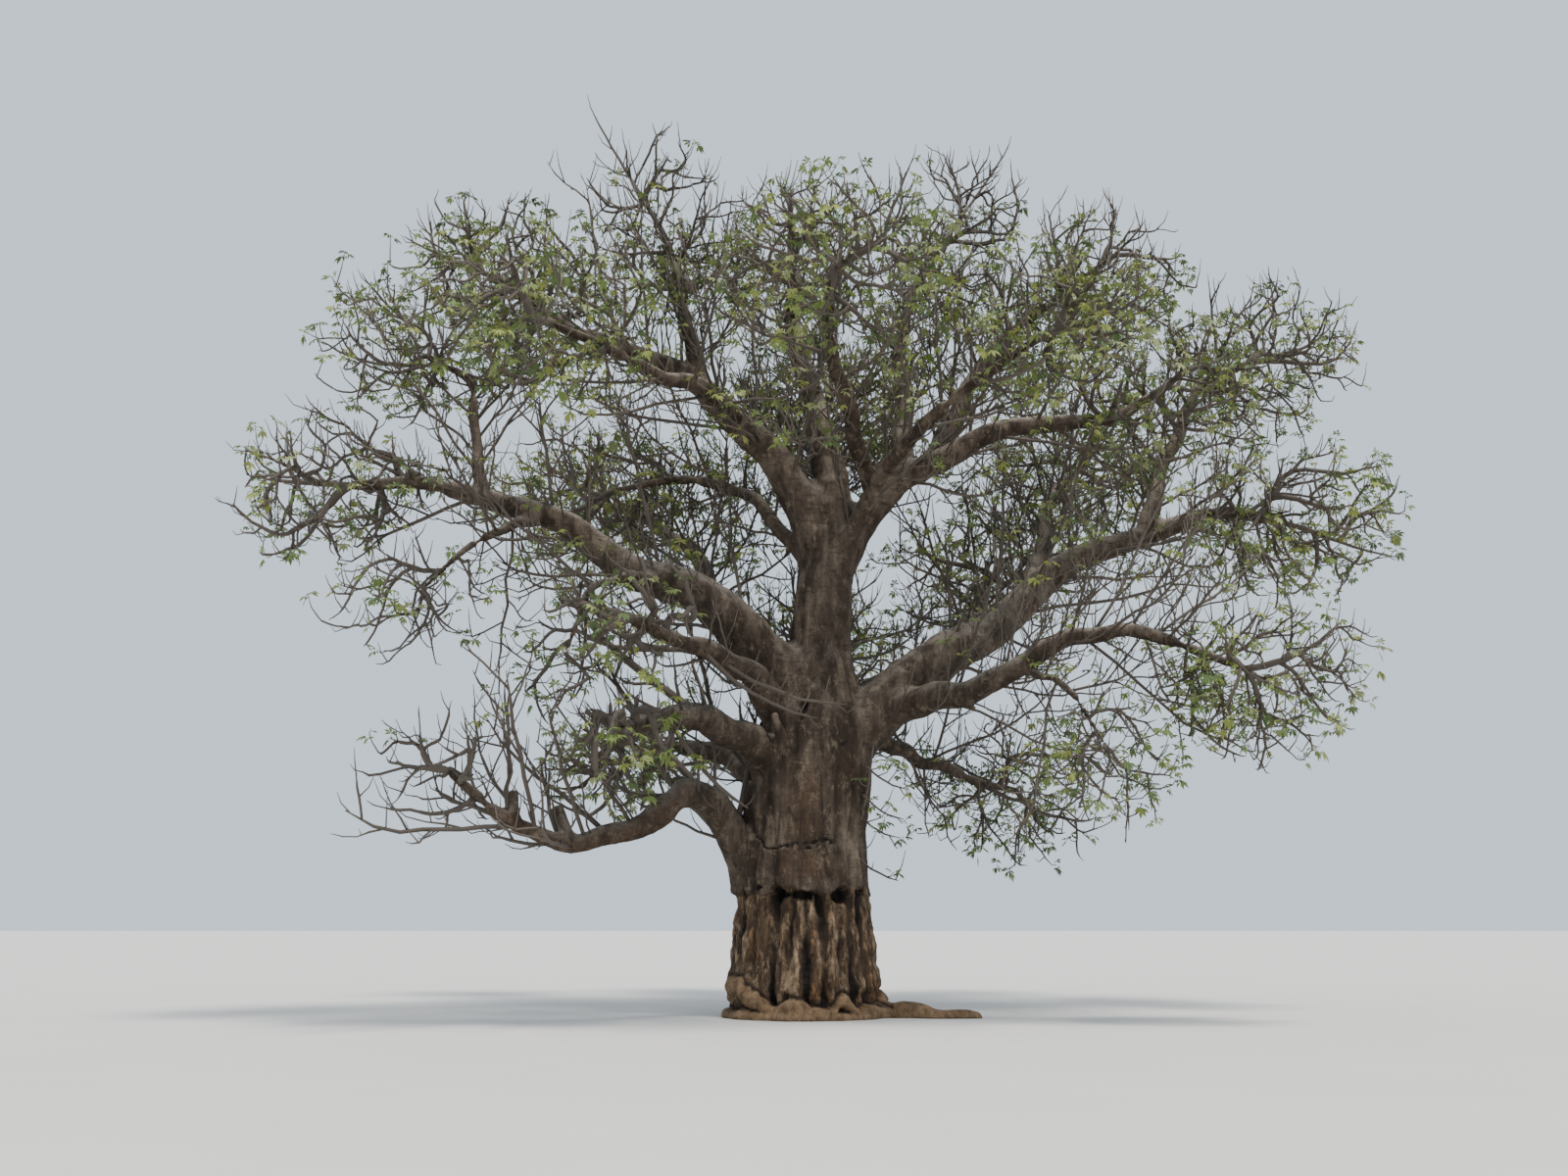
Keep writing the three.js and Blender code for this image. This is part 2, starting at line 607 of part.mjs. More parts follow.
function buildTree() {
  const bark = new THREE.MeshStandardMaterial({ color: COLOURS.bark, roughness: 0.9, metalness: 0 });
  const foliage = new THREE.MeshStandardMaterial({ color: COLOURS.foliage, roughness: 0.6, metalness: 0 });
  const limbs = buildLimbs();
  const stems = Object.entries(MASSES).map(([name, mass]) => [name, buildStem(mass, limbs[mass.on])]);
  const ownerOf = Object.fromEntries(stems.map(([name]) => [MASSES[name].on, name]));
  const obstacles = [
    ...Object.entries(limbs).flatMap(([name, limb]) => obstaclesOn(limb, ownerOf[name])),
    ...stems.flatMap(([name, stem]) => obstaclesOn(stem, name)),
  ];
  const tree = new THREE.Group();
  Object.entries(limbs).forEach(([name, limb]) => tree.add(meshOf(name, limb.solid, bark)));
  stems.forEach(([name, stem], i) => {
    const solid = buildMass(name, MASSES[name], stem, obstacles, SEED + i);
    tree.add(meshOf(name, solid, foliage));
  });
  return tree;
}

export default buildTree();
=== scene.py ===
# The looks of a baobab tree in young leaf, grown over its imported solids. Metres, +Z up. The origin is
# the middle of the flat cut at ground level. Headings turn from +X (right) through +Y (back): 180 is
# left and 270 is the front.

import math

import bmesh
import bpy
import numpy as np
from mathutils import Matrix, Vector, noise


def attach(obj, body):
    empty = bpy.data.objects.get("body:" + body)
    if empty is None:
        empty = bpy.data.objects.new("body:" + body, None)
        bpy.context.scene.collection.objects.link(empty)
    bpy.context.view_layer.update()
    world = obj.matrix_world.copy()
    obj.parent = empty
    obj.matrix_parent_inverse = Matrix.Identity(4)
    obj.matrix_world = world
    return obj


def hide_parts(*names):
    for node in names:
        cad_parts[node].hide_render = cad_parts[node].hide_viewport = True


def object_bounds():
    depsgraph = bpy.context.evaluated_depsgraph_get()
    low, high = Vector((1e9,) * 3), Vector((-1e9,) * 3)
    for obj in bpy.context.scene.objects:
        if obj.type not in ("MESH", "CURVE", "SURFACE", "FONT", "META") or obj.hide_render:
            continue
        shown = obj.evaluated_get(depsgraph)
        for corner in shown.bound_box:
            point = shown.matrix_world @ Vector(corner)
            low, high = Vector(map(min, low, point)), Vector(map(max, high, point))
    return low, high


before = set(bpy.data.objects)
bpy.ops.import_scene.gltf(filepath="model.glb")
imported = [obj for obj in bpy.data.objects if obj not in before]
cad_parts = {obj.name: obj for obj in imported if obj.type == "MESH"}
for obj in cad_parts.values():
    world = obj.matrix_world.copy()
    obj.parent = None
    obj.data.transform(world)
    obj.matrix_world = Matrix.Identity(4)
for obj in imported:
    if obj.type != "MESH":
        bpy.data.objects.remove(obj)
cad_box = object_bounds()

TURN = 2 * math.pi
UP = np.array([0.0, 0.0, 1.0])
LEANING = UP + 0.01  # so that nothing runs quite along it
GOLDEN = math.radians(137.5)
REACH_MARGIN = 0.06
REACH = np.array(cad_box) + ((REACH_MARGIN,), (-REACH_MARGIN,))

# The camera, where it stood.
CAMERA_PLACE = (-0.33, -27.0, 1.5)
CAMERA_PITCH = 12.1
LENS = 36.0
SENSOR_WIDTH = 36.0

# The trunk's line and girths, as in the solids: diameters at heights.
TRUNK_HEIGHT = 8.7
TRUNK_GIRTHS = (
    (0, 3.0), (0.2, 2.9), (0.45, 2.6), (0.8, 2.48), (1.3, 2.4), (1.9, 2.28), (2.4, 2.16), (3.0, 2.03),
    (3.9, 1.94), (4.7, 1.8), (5.4, 1.46), (6.2, 1.02), (7.3, 0.87), (8.0, 0.82), (TRUNK_HEIGHT, 0.76),
)
TRUNK_LEAN = 0.5
TRUNK_WAIST = 2.6

# How a limb's line and girth are worked out, as in the solids.
HANDLE = 2.7
WAVER = 0.022
WAVES = (1.6, 2.1)
LIMB_TAPER = 1.2
COLLAR = 0.16
COLLAR_FADE = 9

# Every limb: the limb it leaves, at which share of that one's length and how far off its axis, the
# heading and rise it leaves along, the place it reaches and the heading and rise there, and its
# diameters at foot and tip. All but the root are boughs, and their nodes' names start with bough_.
LIMBS = {
    "root_right": ("trunk", 0, 0.6, (352, 0), (2.9, -0.5, 0.0), (10, -3), (0.62, 0.2)),
    "left": ("trunk", 0.61, 0.3, (196, 47), (-6.0, -1.9, 8.6), (188, 14), (1.0, 0.28)),
    "left_upright": ("left", 0.9, 0, (165, 72), (-5.6, -1.7, 10.3), (170, 85), (0.25, 0.16)),
    "left_drooping": ("left", 0.74, 0, (215, -12), (-5.3, -2.2, 7.6), (205, -35), (0.22, 0.14)),
    "left_hanging": ("left", 0.42, 0, (222, 4), (-3.6, -2.5, 6.3), (215, -78), (0.2, 0.12)),
    "left_slender": ("trunk", 0.83, 0, (160, 58), (-2.0, 1.2, 9.6), (172, 8), (0.32, 0.2)),
    "left_second": ("trunk", 0.54, 0.4, (208, 44), (-1.9, -2.3, 5.9), (208, 8), (0.62, 0.3)),
    "left_third": ("trunk", 0.43, 0.4, (202, 48), (-2.3, -2.1, 4.7), (202, -12), (0.72, 0.4)),
    "left_fourth": ("trunk", 0.42, 0.4, (158, 32), (-2.3, 1.9, 4.7), (160, 6), (0.48, 0.3)),
    "left_low": ("trunk", 0.24, 0.75, (192, 74), (-2.15, -1.35, 3.45), (208, -46), (0.7, 0.42)),
    "left_low_outer": ("left_low", 1, 0, (208, -46), (-4.9, -2.8, 3.3), (190, 42), (0.42, 0.2)),
    "right": ("trunk", 0.5, 0.3, (4, 40), (7.6, 1.2, 8.95), (5, 16), (1.04, 0.3)),
    "right_steep": ("right", 0.84, 0, (40, 66), (7.6, 2.0, 11.5), (22, 62), (0.34, 0.24)),
    "right_second": ("right", 0.13, 0, (322, 8), (3.7, -1.6, 5.75), (346, 34), (0.62, 0.34)),
    "right_second_outer": ("right_second", 1, 0, (346, 34), (6.0, -2.4, 5.85), (345, -26), (0.34, 0.2)),
    "right_hanging": ("right_second", 0.92, 0, (325, -20), (4.4, -2.1, 4.95), (340, -62), (0.16, 0.11)),
    "right_low": ("right", 0.1, 0, (42, -42), (3.0, 1.9, 4.15), (30, -22), (0.32, 0.2)),
    "upper_left": ("trunk", 0.92, 0.3, (187, 72), (-3.9, -1.1, 11.6), (185, 16), (0.76, 0.28)),
    "upper_left_upright": ("upper_left", 0.62, 0, (130, 80), (-2.1, -0.9, 12.2), (150, 82), (0.34, 0.22)),
    "centre": ("trunk", 1, 0, (62, 84), (-0.15, 1.0, 12.4), (140, 76), (0.7, 0.26)),
    "upper_right": ("trunk", 0.88, 0.4, (358, 68), (5.2, -0.8, 10.1), (352, -3), (0.64, 0.26)),
    "upper_right_inner": ("upper_right", 0.36, 0, (85, 66), (2.0, 1.0, 12.9), (50, 72), (0.42, 0.24)),
    "upper_right_outer": ("upper_right", 0.44, 0, (45, 48), (4.1, 0.8, 12.5), (15, 38), (0.4, 0.23)),
    "front": ("upper_right", 0.24, 0, (240, 58), (0.4, -3.3, 10.7), (262, 22), (0.34, 0.22)),
    "front_left": ("upper_left", 0.42, 0, (238, 34), (-2.8, -3.3, 10.3), (222, 14), (0.36, 0.21)),
    "front_right": ("trunk", 0.85, 0, (325, 58), (2.4, -2.4, 9.9), (318, 24), (0.34, 0.22)),
    "back_inner": ("right", 0.36, 0, (84, 24), (3.7, 3.6, 8.1), (80, 26), (0.36, 0.22)),
    "back_left": ("left", 0.24, 0, (112, 30), (-3.3, 4.1, 9.7), (135, 28), (0.44, 0.24)),
    "back_right": ("right", 0.56, 0, (74, 40), (5.4, 4.3, 10.4), (66, 30), (0.38, 0.22)),
    "back": ("trunk", 0.9, 0.3, (96, 50), (0.5, 4.9, 11.9), (90, 26), (0.5, 0.25)),
    "back_low": ("trunk", 0.55, 0.4, (97, 34), (0.4, 4.9, 6.9), (92, 6), (0.56, 0.28)),
}

# Every mass of foliage: the bough it grows from, the middle of its space, half its width, depth and
# height, and how leafy it is. Their nodes' names start with foliage_. A lead is one twig that stands
# out beyond the space.
MASSES = {
    "far_left": ("left", (-7.9, -2.0, 8.6), (2.0, 1.8, 1.6), 0.4),
    "left_high": ("left_upright", (-6.7, -1.5, 11.2), (1.9, 1.8, 1.6), 0.5),
    "left_drooping": ("left_drooping", (-6.2, -2.9, 6.5), (1.7, 1.5, 1.2), 0.35),
    "left_hanging": ("left_hanging", (-3.8, -2.8, 5.5), (1.0, 1.0, 1.2), 0.6),
    "left_inner": ("left_slender", (-3.9, 2.0, 9.6), (2.4, 1.8, 1.6), 0.6),
    "left_front": ("left_second", (-2.9, -3.3, 6.2), (1.5, 1.4, 1.2), 0.5),
    "left_middle": ("left_third", (-2.9, -3.0, 4.4), (1.2, 1.3, 1.1), 0.6),
    "left_back": ("left_fourth", (-3.5, 2.9, 4.5), (1.9, 1.6, 1.3), 0.7),
    "left_low": ("left_low_outer", (-5.6, -3.0, 3.9), (1.4, 1.2, 1.2), 0.08),
    "far_right": ("right", (9.1, 1.2, 8.8), (2.2, 2.0, 1.8), 0.7),
    "right_high": ("right_steep", (9.1, 2.3, 12.5), (2.2, 2.0, 1.9), 0.6),
    "right_drooping": ("right_second_outer", (7.1, -2.8, 5.3), (2.0, 1.7, 1.6), 0.7),
    "right_hanging": ("right_hanging", (4.8, -2.4, 4.1), (1.2, 1.1, 1.4), 0.7),
    "right_low": ("right_low", (4.2, 2.5, 3.9), (2.0, 1.6, 1.6), 0.7),
    "upper_left": ("upper_left", (-5.3, -1.0, 12.7), (2.2, 1.9, 1.7), 0.85),
    "top_left": ("upper_left_upright", (-2.5, -0.8, 13.8), (1.8, 1.7, 1.9), 0.8),
    "top_centre": ("centre", (-0.2, 0.7, 14.0), (1.8, 1.7, 1.8), 0.85),
    "right_middle": ("upper_right", (6.3, -1.0, 10.6), (2.1, 1.8, 1.5), 0.65),
    "top": ("upper_right_inner", (2.8, 1.2, 14.5), (2.0, 1.8, 2.0), 0.8),
    "upper_right": ("upper_right_outer", (5.5, 1.0, 13.6), (2.1, 1.9, 1.8), 0.85),
    "front": ("front", (0.4, -5.1, 11.2), (2.1, 2.0, 1.5), 0.9),
    "front_left": ("front_left", (-4.1, -4.7, 10.5), (2.1, 2.0, 1.5), 0.9),
    "front_right": ("front_right", (3.9, -4.1, 10.6), (2.0, 2.0, 1.5), 0.9),
    "back_inner": ("back_inner", (3.9, 4.8, 8.7), (2.2, 1.8, 1.7), 0.6),
    "back_left": ("back_left", (-4.6, 5.6, 10.4), (2.3, 2.1, 1.9), 0.85),
    "back_right": ("back_right", (6.2, 5.8, 11.2), (2.3, 2.1, 1.9), 0.85),
    "back": ("back", (0.5, 6.6, 12.6), (2.4, 2.1, 1.9), 0.85),
    "back_low": ("back_low", (0.4, 6.5, 7.1), (2.1, 1.8, 1.6), 0.8),
}
LEADS = {
    "far_left": (-9.2, -2.1, 8.75),
    "far_right": (11.0, 1.1, 8.1),
    "upper_left": (-7.0, -1.4, 13.3),
    "top_left": (-3.8, -1.0, 15.9),
    "top": (4.1, 1.4, 16.5),
}
# The masses whose twigs and leaves are joined into one piece of each kind.
REGIONS = {
    "left": ("far_left", "left"),
    "right": ("far_right", "right"),
    "upper": ("upper", "top", "front"),
    "back": ("back",),
}

# The twigs' rule, as in the solids.
SEED = 2110
TIPS = 9
CANDIDATES = 16
TIP_DEPTH = 0.84
CELL_MARGIN = 0.05
KEEP_OFF = 0.02
PROBE_SPACING = 0.1
THRIFT = 0.3
TURN_COST = 0.5
STEM_REACH = 0.8
STEM_JOINTS = (1 / 3, 2 / 3, 1)

# The same rule carried on to finer twigs: tips for each cubic metre of space, how far out they lie,
# what crowding costs, how much their ends turn up, and the points and sides of each twig.
FIRST = dict(crowding=0.5, upturn=0.55, points=12, sides=7)
BRANCHLETS = dict(density=0.9, depth=(0.3, 0.9), crowding=0.25, upturn=0.55, points=7, sides=5)
TWIGS = dict(density=4.5, depth=(0.35, 0.97), crowding=0.12, upturn=0.9, points=6, sides=3)
TWIG_JOINTS = (0.3, 0.5, 0.7, 0.9)
# How full of twigs the masses are whose names start so, as shares of those densities.
FULLNESS = {
    "left_drooping": 0.65, "left_hanging": 0.55, "far_left": 1.1, "left": 0.7, "right_drooping": 1.35,
    "top": 1.1, "front": 0.95, "back_inner": 0.6, "back": 0.8,
}
INLET = 0.66  # how far out the finest twigs reach where the outline draws in, as a share
LOBES = 0.45  # how far apart the outline is drawn in, on a ball of one metre
LOBE_SHIFT = 3.7  # between one mass's outline and the next one's
LEAD_RADII = (0.045, 0.014)
GIRTH_POWER = 0.43  # how a twig's radius grows with the ends that it bears
FINE_CANDIDATES = 8
POOL = 30  # places tried for each twig end that is wanted
TWIG_HANDLE = 0.36
LEAVING = 0.7  # how much a twig still runs on along the one it leaves
CROOKED = 0.06  # sideways wander, as a share of its length
BENDS = (1.0, 0.4, 0.0)  # a twig that can't grow in full bends is tried with less
LEAD_BENDS = (0.3,)
LEAD_LEAFINESS = 0.2

# Branches and sprigs along the boughs: how far apart, how long, how much they turn up, and the points
# and sides of each. The branches bear side twigs.
BRANCHES = dict(spacing=0.38, reach=(1.2, 3.3), upturn=0.6, points=7, sides=5)
SPRIGS = dict(spacing=0.38, reach=(0.5, 1.2), upturn=0.8, points=6, sides=3)
SIDE_TWIGS = dict(reach=(0.45, 1.25), upturn=0.8, points=5, sides=3)
SIDE_SHARES = (0.3, 0.48, 0.63, 0.77, 0.9)
# How much outwards, along its bearer and up a branch or shoot leaves, and a side twig.
BRANCH_WAY = (0.8, 0.5, 0.45)
SIDE_WAY = (0.75, 0.7, 0.35)
BARE_FOOT = 0.2  # the share of a bough without branches and sprigs
LAST_SHARE = 0.97  # no branch, sprig or shoot leaves nearer to its bearer's tip
ROOTED = 0.7  # how far out in a bough a branch starts, as a share of its radius
SPRIG_BOX = ((-8.6, -6.0, 2.6), (10.3, 7.6, 15.6))
SPRIG_LEAFINESS = 0.5
# Boughs whose names start so have their branches and sprigs closer together, by these shares.
CLOSER = {
    "back": 0.58, "left_low": 0.5, "left_third": 0.6, "left_upright": 0.55, "right_low": 0.7,
    "right_second": 0.55,
}
# Nearer the middle than this and below this height no branch leaves more towards the front than this.
OPEN_FRONT = (3.3, 8.2, -0.3)
TRUNK_VIEW = ((-1.2, -9.0, 0.0), (1.3, -0.5, 8.6))  # the box before the trunk that stays free
SINGLE_BEND = 0.6  # how fully the single twigs are bent
FREE_GIRTH = 0.6  # how thick branches are, beside twigs that bear as many ends

# Twigs that show beside and before the trunk: the mass they are kept with, the place each leaves, the
# place it reaches, and how leafy it is.
SINGLE_TWIGS = (
    ("right_low", (1.2, -0.25, 4.55), (0.98, -0.75, 3.3), 1.0),
    ("right_low", (1.05, -0.6, 4.1), (1.75, -0.7, 3.7), 1.0),
    ("right_low", (0.99, -0.72, 3.6), (1.65, -0.8, 3.2), 1.0),
    ("right_low", (0.95, -0.3, 3.3), (1.6, -0.7, 2.9), 1.0),
    ("right_low", (0.75, -0.5, 2.75), (1.55, -0.75, 2.2), 1.0),
    ("left_front", (-1.5, -1.9, 5.8), (0.7, -1.6, 5.0), 0.0),
    ("left_front", (-1.7, -2.2, 5.85), (0.2, -2.2, 4.7), 0.0),
    ("left_middle", (-2.1, -1.9, 4.6), (-0.9, -1.9, 3.3), 0.0),
)

# Shoots along all the twigs, and the leaves at their ends.
SHOOT_SPACING = 0.27
SHOOT_LENGTHS = (0.26, 0.62)
SHOOT_START = 0.2
SHOOT_POINTS = 3
SHOOT_SHRINK = (1.1, 0.3)  # how long shoots are at a twig's foot, and how much shorter at its tip
# How far a shoot's end lies along its way and up, the way it arrives there, and its curve's handles.
SHOOT_END = (0.78, 0.38)
SHOOT_ARRIVES = (0.4, 0.8)
SHOOT_HANDLES = (0.45, 0.35)
SHOOT_GIRTHS = (1.15, 0.9, 0.45)  # along a shoot, as shares of an end's radius
BARE_MASS = (0.2, 0.45)  # a mass less leafy than this has this share of the shoots
END_RADIUS = 0.0115
POINTED = 0.5  # how much of that is left at a twig's very tip
STEM_GIRTH = 0.96
STEM_TAPER = 0.4
FORK_FADE = (0.08, 0.02)  # how far beyond and before a fork a twig thins
# A leaflet that points along its first axis: shares of its length, of its half width, and its fold.
LEAFLET = np.array([(0.0, 0.0, 0.0), (0.6, 1.0, 0.3), (1.0, 0.0, 0.0), (0.6, -1.0, 0.3)])
LEAFLET_FACES = np.array([(0, 2, 1), (0, 3, 2)])
LEAFLETS = (-80, -40, 0, 40, 80)
LEAFLET_STRAY = 0.08
LEAFLET_DROOP = 0.2
LEAFLET_SAG = 0.28
LEAFLET_SHRINK = 0.3  # how much smaller a palm's outer leaflets are
LEAFLET_SIZES = (0.8, 1.1)
LEAFLET_LENGTH = 0.15
LEAFLET_WIDTH = 0.054
STALK_LENGTH = 0.08
STALK_WIDTH = 0.01
STALK_TAPER = 0.5
LEAVES_AT_AN_END = (2, 4)
LEAF_STRAY = 0.25  # from an even turn round the shoot
LEAF_SPREAD = (35, 95)  # the angle between a leaf's stalk and its shoot
LEAF_DROOP = 0.3
LEAF_TILT = 0.35  # how far a leaf's face strays from facing up
LEAF_FACING = 0.3  # how far it faces along the shoot
LEAF_SIZES = (0.7, 1.2)
LEAF_STEP = 0.02  # between the leaves at an end
LEAFY = 0.78  # how much of each mass's leafiness this season has brought out
BARE_TOP = 0.7  # how much less leafy a mass is at its top
TOP_BAND = (0.1, 0.8)  # where its top begins and is reached, as shares of its half height
BARE_ABOVE = (12.4, 14.8)  # the crown grows bare between these heights
BARE_CROWN = 0.85
TUFT = 1.1  # how far apart leafy places are
TUFTS = (0.25, 1.2)  # how leafy it is between them, and how much more in them
# The plain colours and roughness of twigs and leaves.
TWIG_LOOKS = (("twig_old", (0.088, 0.07, 0.055), 0.85), ("twig_young", (0.11, 0.09, 0.07), 0.8))
LEAF_LOOKS = (
    ("leaf_mid", (0.145, 0.195, 0.045), 0.7),
    ("leaf_yellow", (0.235, 0.27, 0.06), 0.7),
    ("leaf_deep", (0.085, 0.13, 0.035), 0.7),
    ("leaf_pale", (0.24, 0.27, 0.11), 0.7),
)
GREEN_SHARES = (0.36, 0.26, 0.2, 0.18)

# The bark's mesh.
VOXEL = 0.056
FINE_BELOW = 3.3  # the trunk's faces are halved below this height
FINE_WITHIN = 1.9  # and nearer to its axis than this
FEWEST_STEPS = 8  # along a limb
TUBE_STEP = 0.12
TUBE_SIDES = 40
UNDERGROUND = 0.2  # how far the trunk goes on below its cut, before it is cut
FIT_STEP = 0.05
FIT_MARGIN = 0.6
PULL = 0.6
BLEND = 0.22  # how far a crotch is rounded, as a share of the thinner limb's radius
ROUNDING = 22  # rounds of smoothing at the crotches
EVENING = 0.04  # how much of that the whole skin gets
CROTCH = 0.03  # the least distance at which a crotch begins
ENDS = (0.002, 0.985)  # the shares of a limb beyond which the skin stays off it, round its end
LOOSE = 1.5  # voxels between skin and limb at which it stays off it too
# Relief all over the bark: its stretch upwards, the size of its features and its depth.
BARK_RELIEF = ((1, 0.5, 0.045), (0.7, 0.14, 0.016))
TRUNK_SHARE = 0.6  # how much less of it the trunk has, which has its own
FULL_RELIEF = (0.4, 0.15)  # limbs thinner than this have less, down to this share

# Broken stubs: the limb each is on, at which share, the heading and rise it points along, its length
# and its radius.
STUBS = (
    ("trunk", 0.49, (236, 60), 0.8, 0.09),
    ("left_low_outer", 0.58, (150, 66), 0.55, 0.13),
    ("left_low_outer", 0.86, (100, 74), 0.42, 0.115),
    ("right_second", 0.55, (300, -30), 0.4, 0.06),
)
STUB_DEPTH = 0.8
STUB_TAPER = 0.25

# Relief of the foot: furrows between its columns as (heading from the front, depth, half width).
FURROWS = (
    (-80, 0.06, 4), (-62, 0.09, 4), (-44, 0.05, 3), (-26, 0.15, 4.5), (-11, 0.06, 3), (2, 0.1, 3.5),
    (15.5, 0.14, 4), (28, 0.05, 3), (40, 0.09, 3.5), (54, 0.08, 4), (67, 0.06, 3), (81, 0.1, 4),
    (99, 0.08, 4), (114, 0.13, 4.5), (131, 0.07, 3.5), (147, 0.1, 4), (162, 0.06, 3), (178, 0.12, 4.5),
    (196, 0.07, 4), (211, 0.13, 4), (229, 0.08, 4), (245, 0.06, 3), (262, 0.11, 4),
)
FOOT_RADIUS = 1.25  # the columns' own, inside the ring of roots
RIM_HEIGHT = 2.06  # where the bark has grown back over the stripped wood
RIM_DEPTH = 0.015
RIM_HALF = 0.03  # half the height over which the rim rises from the wood
FOOT_HEIGHTS = (0.55, 0.35)  # the trunk's flare is cut back to the columns below these
FURROW_DEPTH = 1.25  # what the furrows' depths are multiplied by
# The swollen roots that lie round the foot: how thick each is, how far out, and its line as headings
# from the front and heights there.
RING_ROOTS = (
    (0.15, 1.24, (-104, -80, -58, -40, -22, -2), (0.2, 0.5, 0.52, 0.3, 0.1, 0.0)),
    (0.13, 1.29, (-34, -17, -5, 9, 20, 29, 38, 52), (0.0, 0.1, 0.19, 0.07, 0.08, 0.3, 0.1, 0.0)),
    (0.12, 1.3, (36, 55, 74, 92, 110, 128), (0.02, 0.1, 0.05, 0.3, 0.1, 0.0)),
    (0.15, 1.27, (112, 130, 148, 166, 182, 205), (0.0, 0.12, 0.4, 0.14, 0.08, 0.0)),
    (0.12, 1.3, (186, 203, 220, 236, 250, 268), (0.02, 0.1, 0.32, 0.1, 0.06, 0.0)),
    (0.11, 1.33, (-180, -120, -60, 0, 60, 120, 180), (0.0, 0.03, 0.02, 0.04, 0.0, 0.03, 0.0)),
)
# Hollows: heading from the front, height, half width in degrees, half height, depth.
HOLLOWS = (
    (-40, 2.08, 7, 0.09, 0.08), (-24, 2.03, 7, 0.12, 0.17), (3, 1.97, 12, 0.09, 0.16),
    (33, 1.98, 9, 0.14, 0.2), (60, 2.02, 8, 0.09, 0.12), (92, 2.04, 11, 0.11, 0.16),
    (128, 2.0, 11, 0.12, 0.17), (171, 2.02, 15, 0.09, 0.16), (214, 2.05, 8, 0.14, 0.16),
    (258, 2.02, 12, 0.1, 0.15), (294, 2.06, 8, 0.09, 0.1), (3, 2.72, 4, 0.04, 0.06),
    (34, 4.44, 3, 0.04, 0.035), (-15, 5.05, 4.5, 0.3, 0.12),
)
# A crack across the front: headings from the front and its heights there, its depth and half height.
SCAR = {"headings": (-62, -30, -9, 34), "heights": (2.95, 2.7, 2.8, 2.84), "depth": 0.035, "half": 0.02}
# Patches of the trunk's colour: which, heading from the front, height, half width in degrees, half height.
PATCHES = (
    ("warm", -4, 3.35, 17, 0.55), ("warm", -2, 2.45, 44, 0.3), ("pale", -27, 2.95, 13, 0.4),
    ("pale", 48, 2.9, 14, 0.7), ("warm", 150, 3.1, 30, 0.6), ("pale", 235, 3.2, 24, 0.5),
    ("pale", 50, 5.8, 20, 0.4), ("pale", 200, 5.2, 25, 0.6), ("pale", -30, 6.6, 20, 0.5),
)
# What the skin is marked with for its colours. The hollows' mark and the crown's shade are painted shade.
MARKS = ("hollow", "stripped", "warm", "pale", "root", "stained")
# The relief's noises: their stretch upwards, their shift, the size of their features and their octaves.
RELIEF_NOISES = {
    "wander": (0.6, 0, 0.55, 2), "jitter": (1, 0, 0.2, 3), "fine": (1, 11, 0.1, 2),
    "folds": (0.13, 0, 0.45, 3), "narrow": (0.1, 7, 0.2, 2), "stain": (0.2, 0, 0.6, 3),
    "lumps": (0.5, 0, 0.3, 3), "scales": (0.45, 3, 0.08, 2),
}
# The trunk's folds: the noise they follow, how deep, how sharp, and how much painted shade darkens their
# creases.
FOLDS = (("folds", 0.16, 0.035, 0.4), ("narrow", 0.045, 0.05, 0.15))
FOLD_MEAN = 0.2  # the noise's value at which a fold neither rises nor sinks
SHOULDER = 0.08  # how far the trunk swells out under a bough, as a share of the bough's girth
SHOULDER_WIDTH = 0.42
SHOULDER_REACH = (-2.2, -0.2, 0.2, 0.8)  # from nothing to full and back, from where the bough leaves
FOLDED_GIRTH = (0.9, 0.2)  # where the trunk is thinner than this, folds are less, down to this share
CROWN_SHADE_HEIGHTS = (8.0, 5.0)  # the trunk has painted shade of the crown below these
# The boughs get this much painted shade of the crown near the trunk: within these distances and below these
# heights.
CROWN_SHADE_BOUGHS = (0.6, (3.6, 1.2), (8.5, 6.0))
WARM_BOUGH = ("left_low_outer", 0.75)
RING_FADE = 14
SCAR_FADE = 12
SPREAD_ROUNDS = 6  # how softly the trunk's relief ends on the boughs

# The bark's noises: their scale, their stretch upwards, their detail and roughness.
BARK_NOISES = {
    "blotches": (1.1, 1, 5, 0.55), "streaks": (4.5, 0.14, 6, 0.6), "grain": (26, 0.5, 6, 0.65),
    "flakes": (7, 0.32, 8, 0.74), "mottle": (6.5, 0.6, 8, 0.78), "wrinkles": (4, 4.5, 6, 0.6),
    "fibres": (16, 0.12, 5, 0.55), "smears": (2.6, 0.35, 7, 0.68), "rust": (2.6, 0.5, 4, 0.55),
}
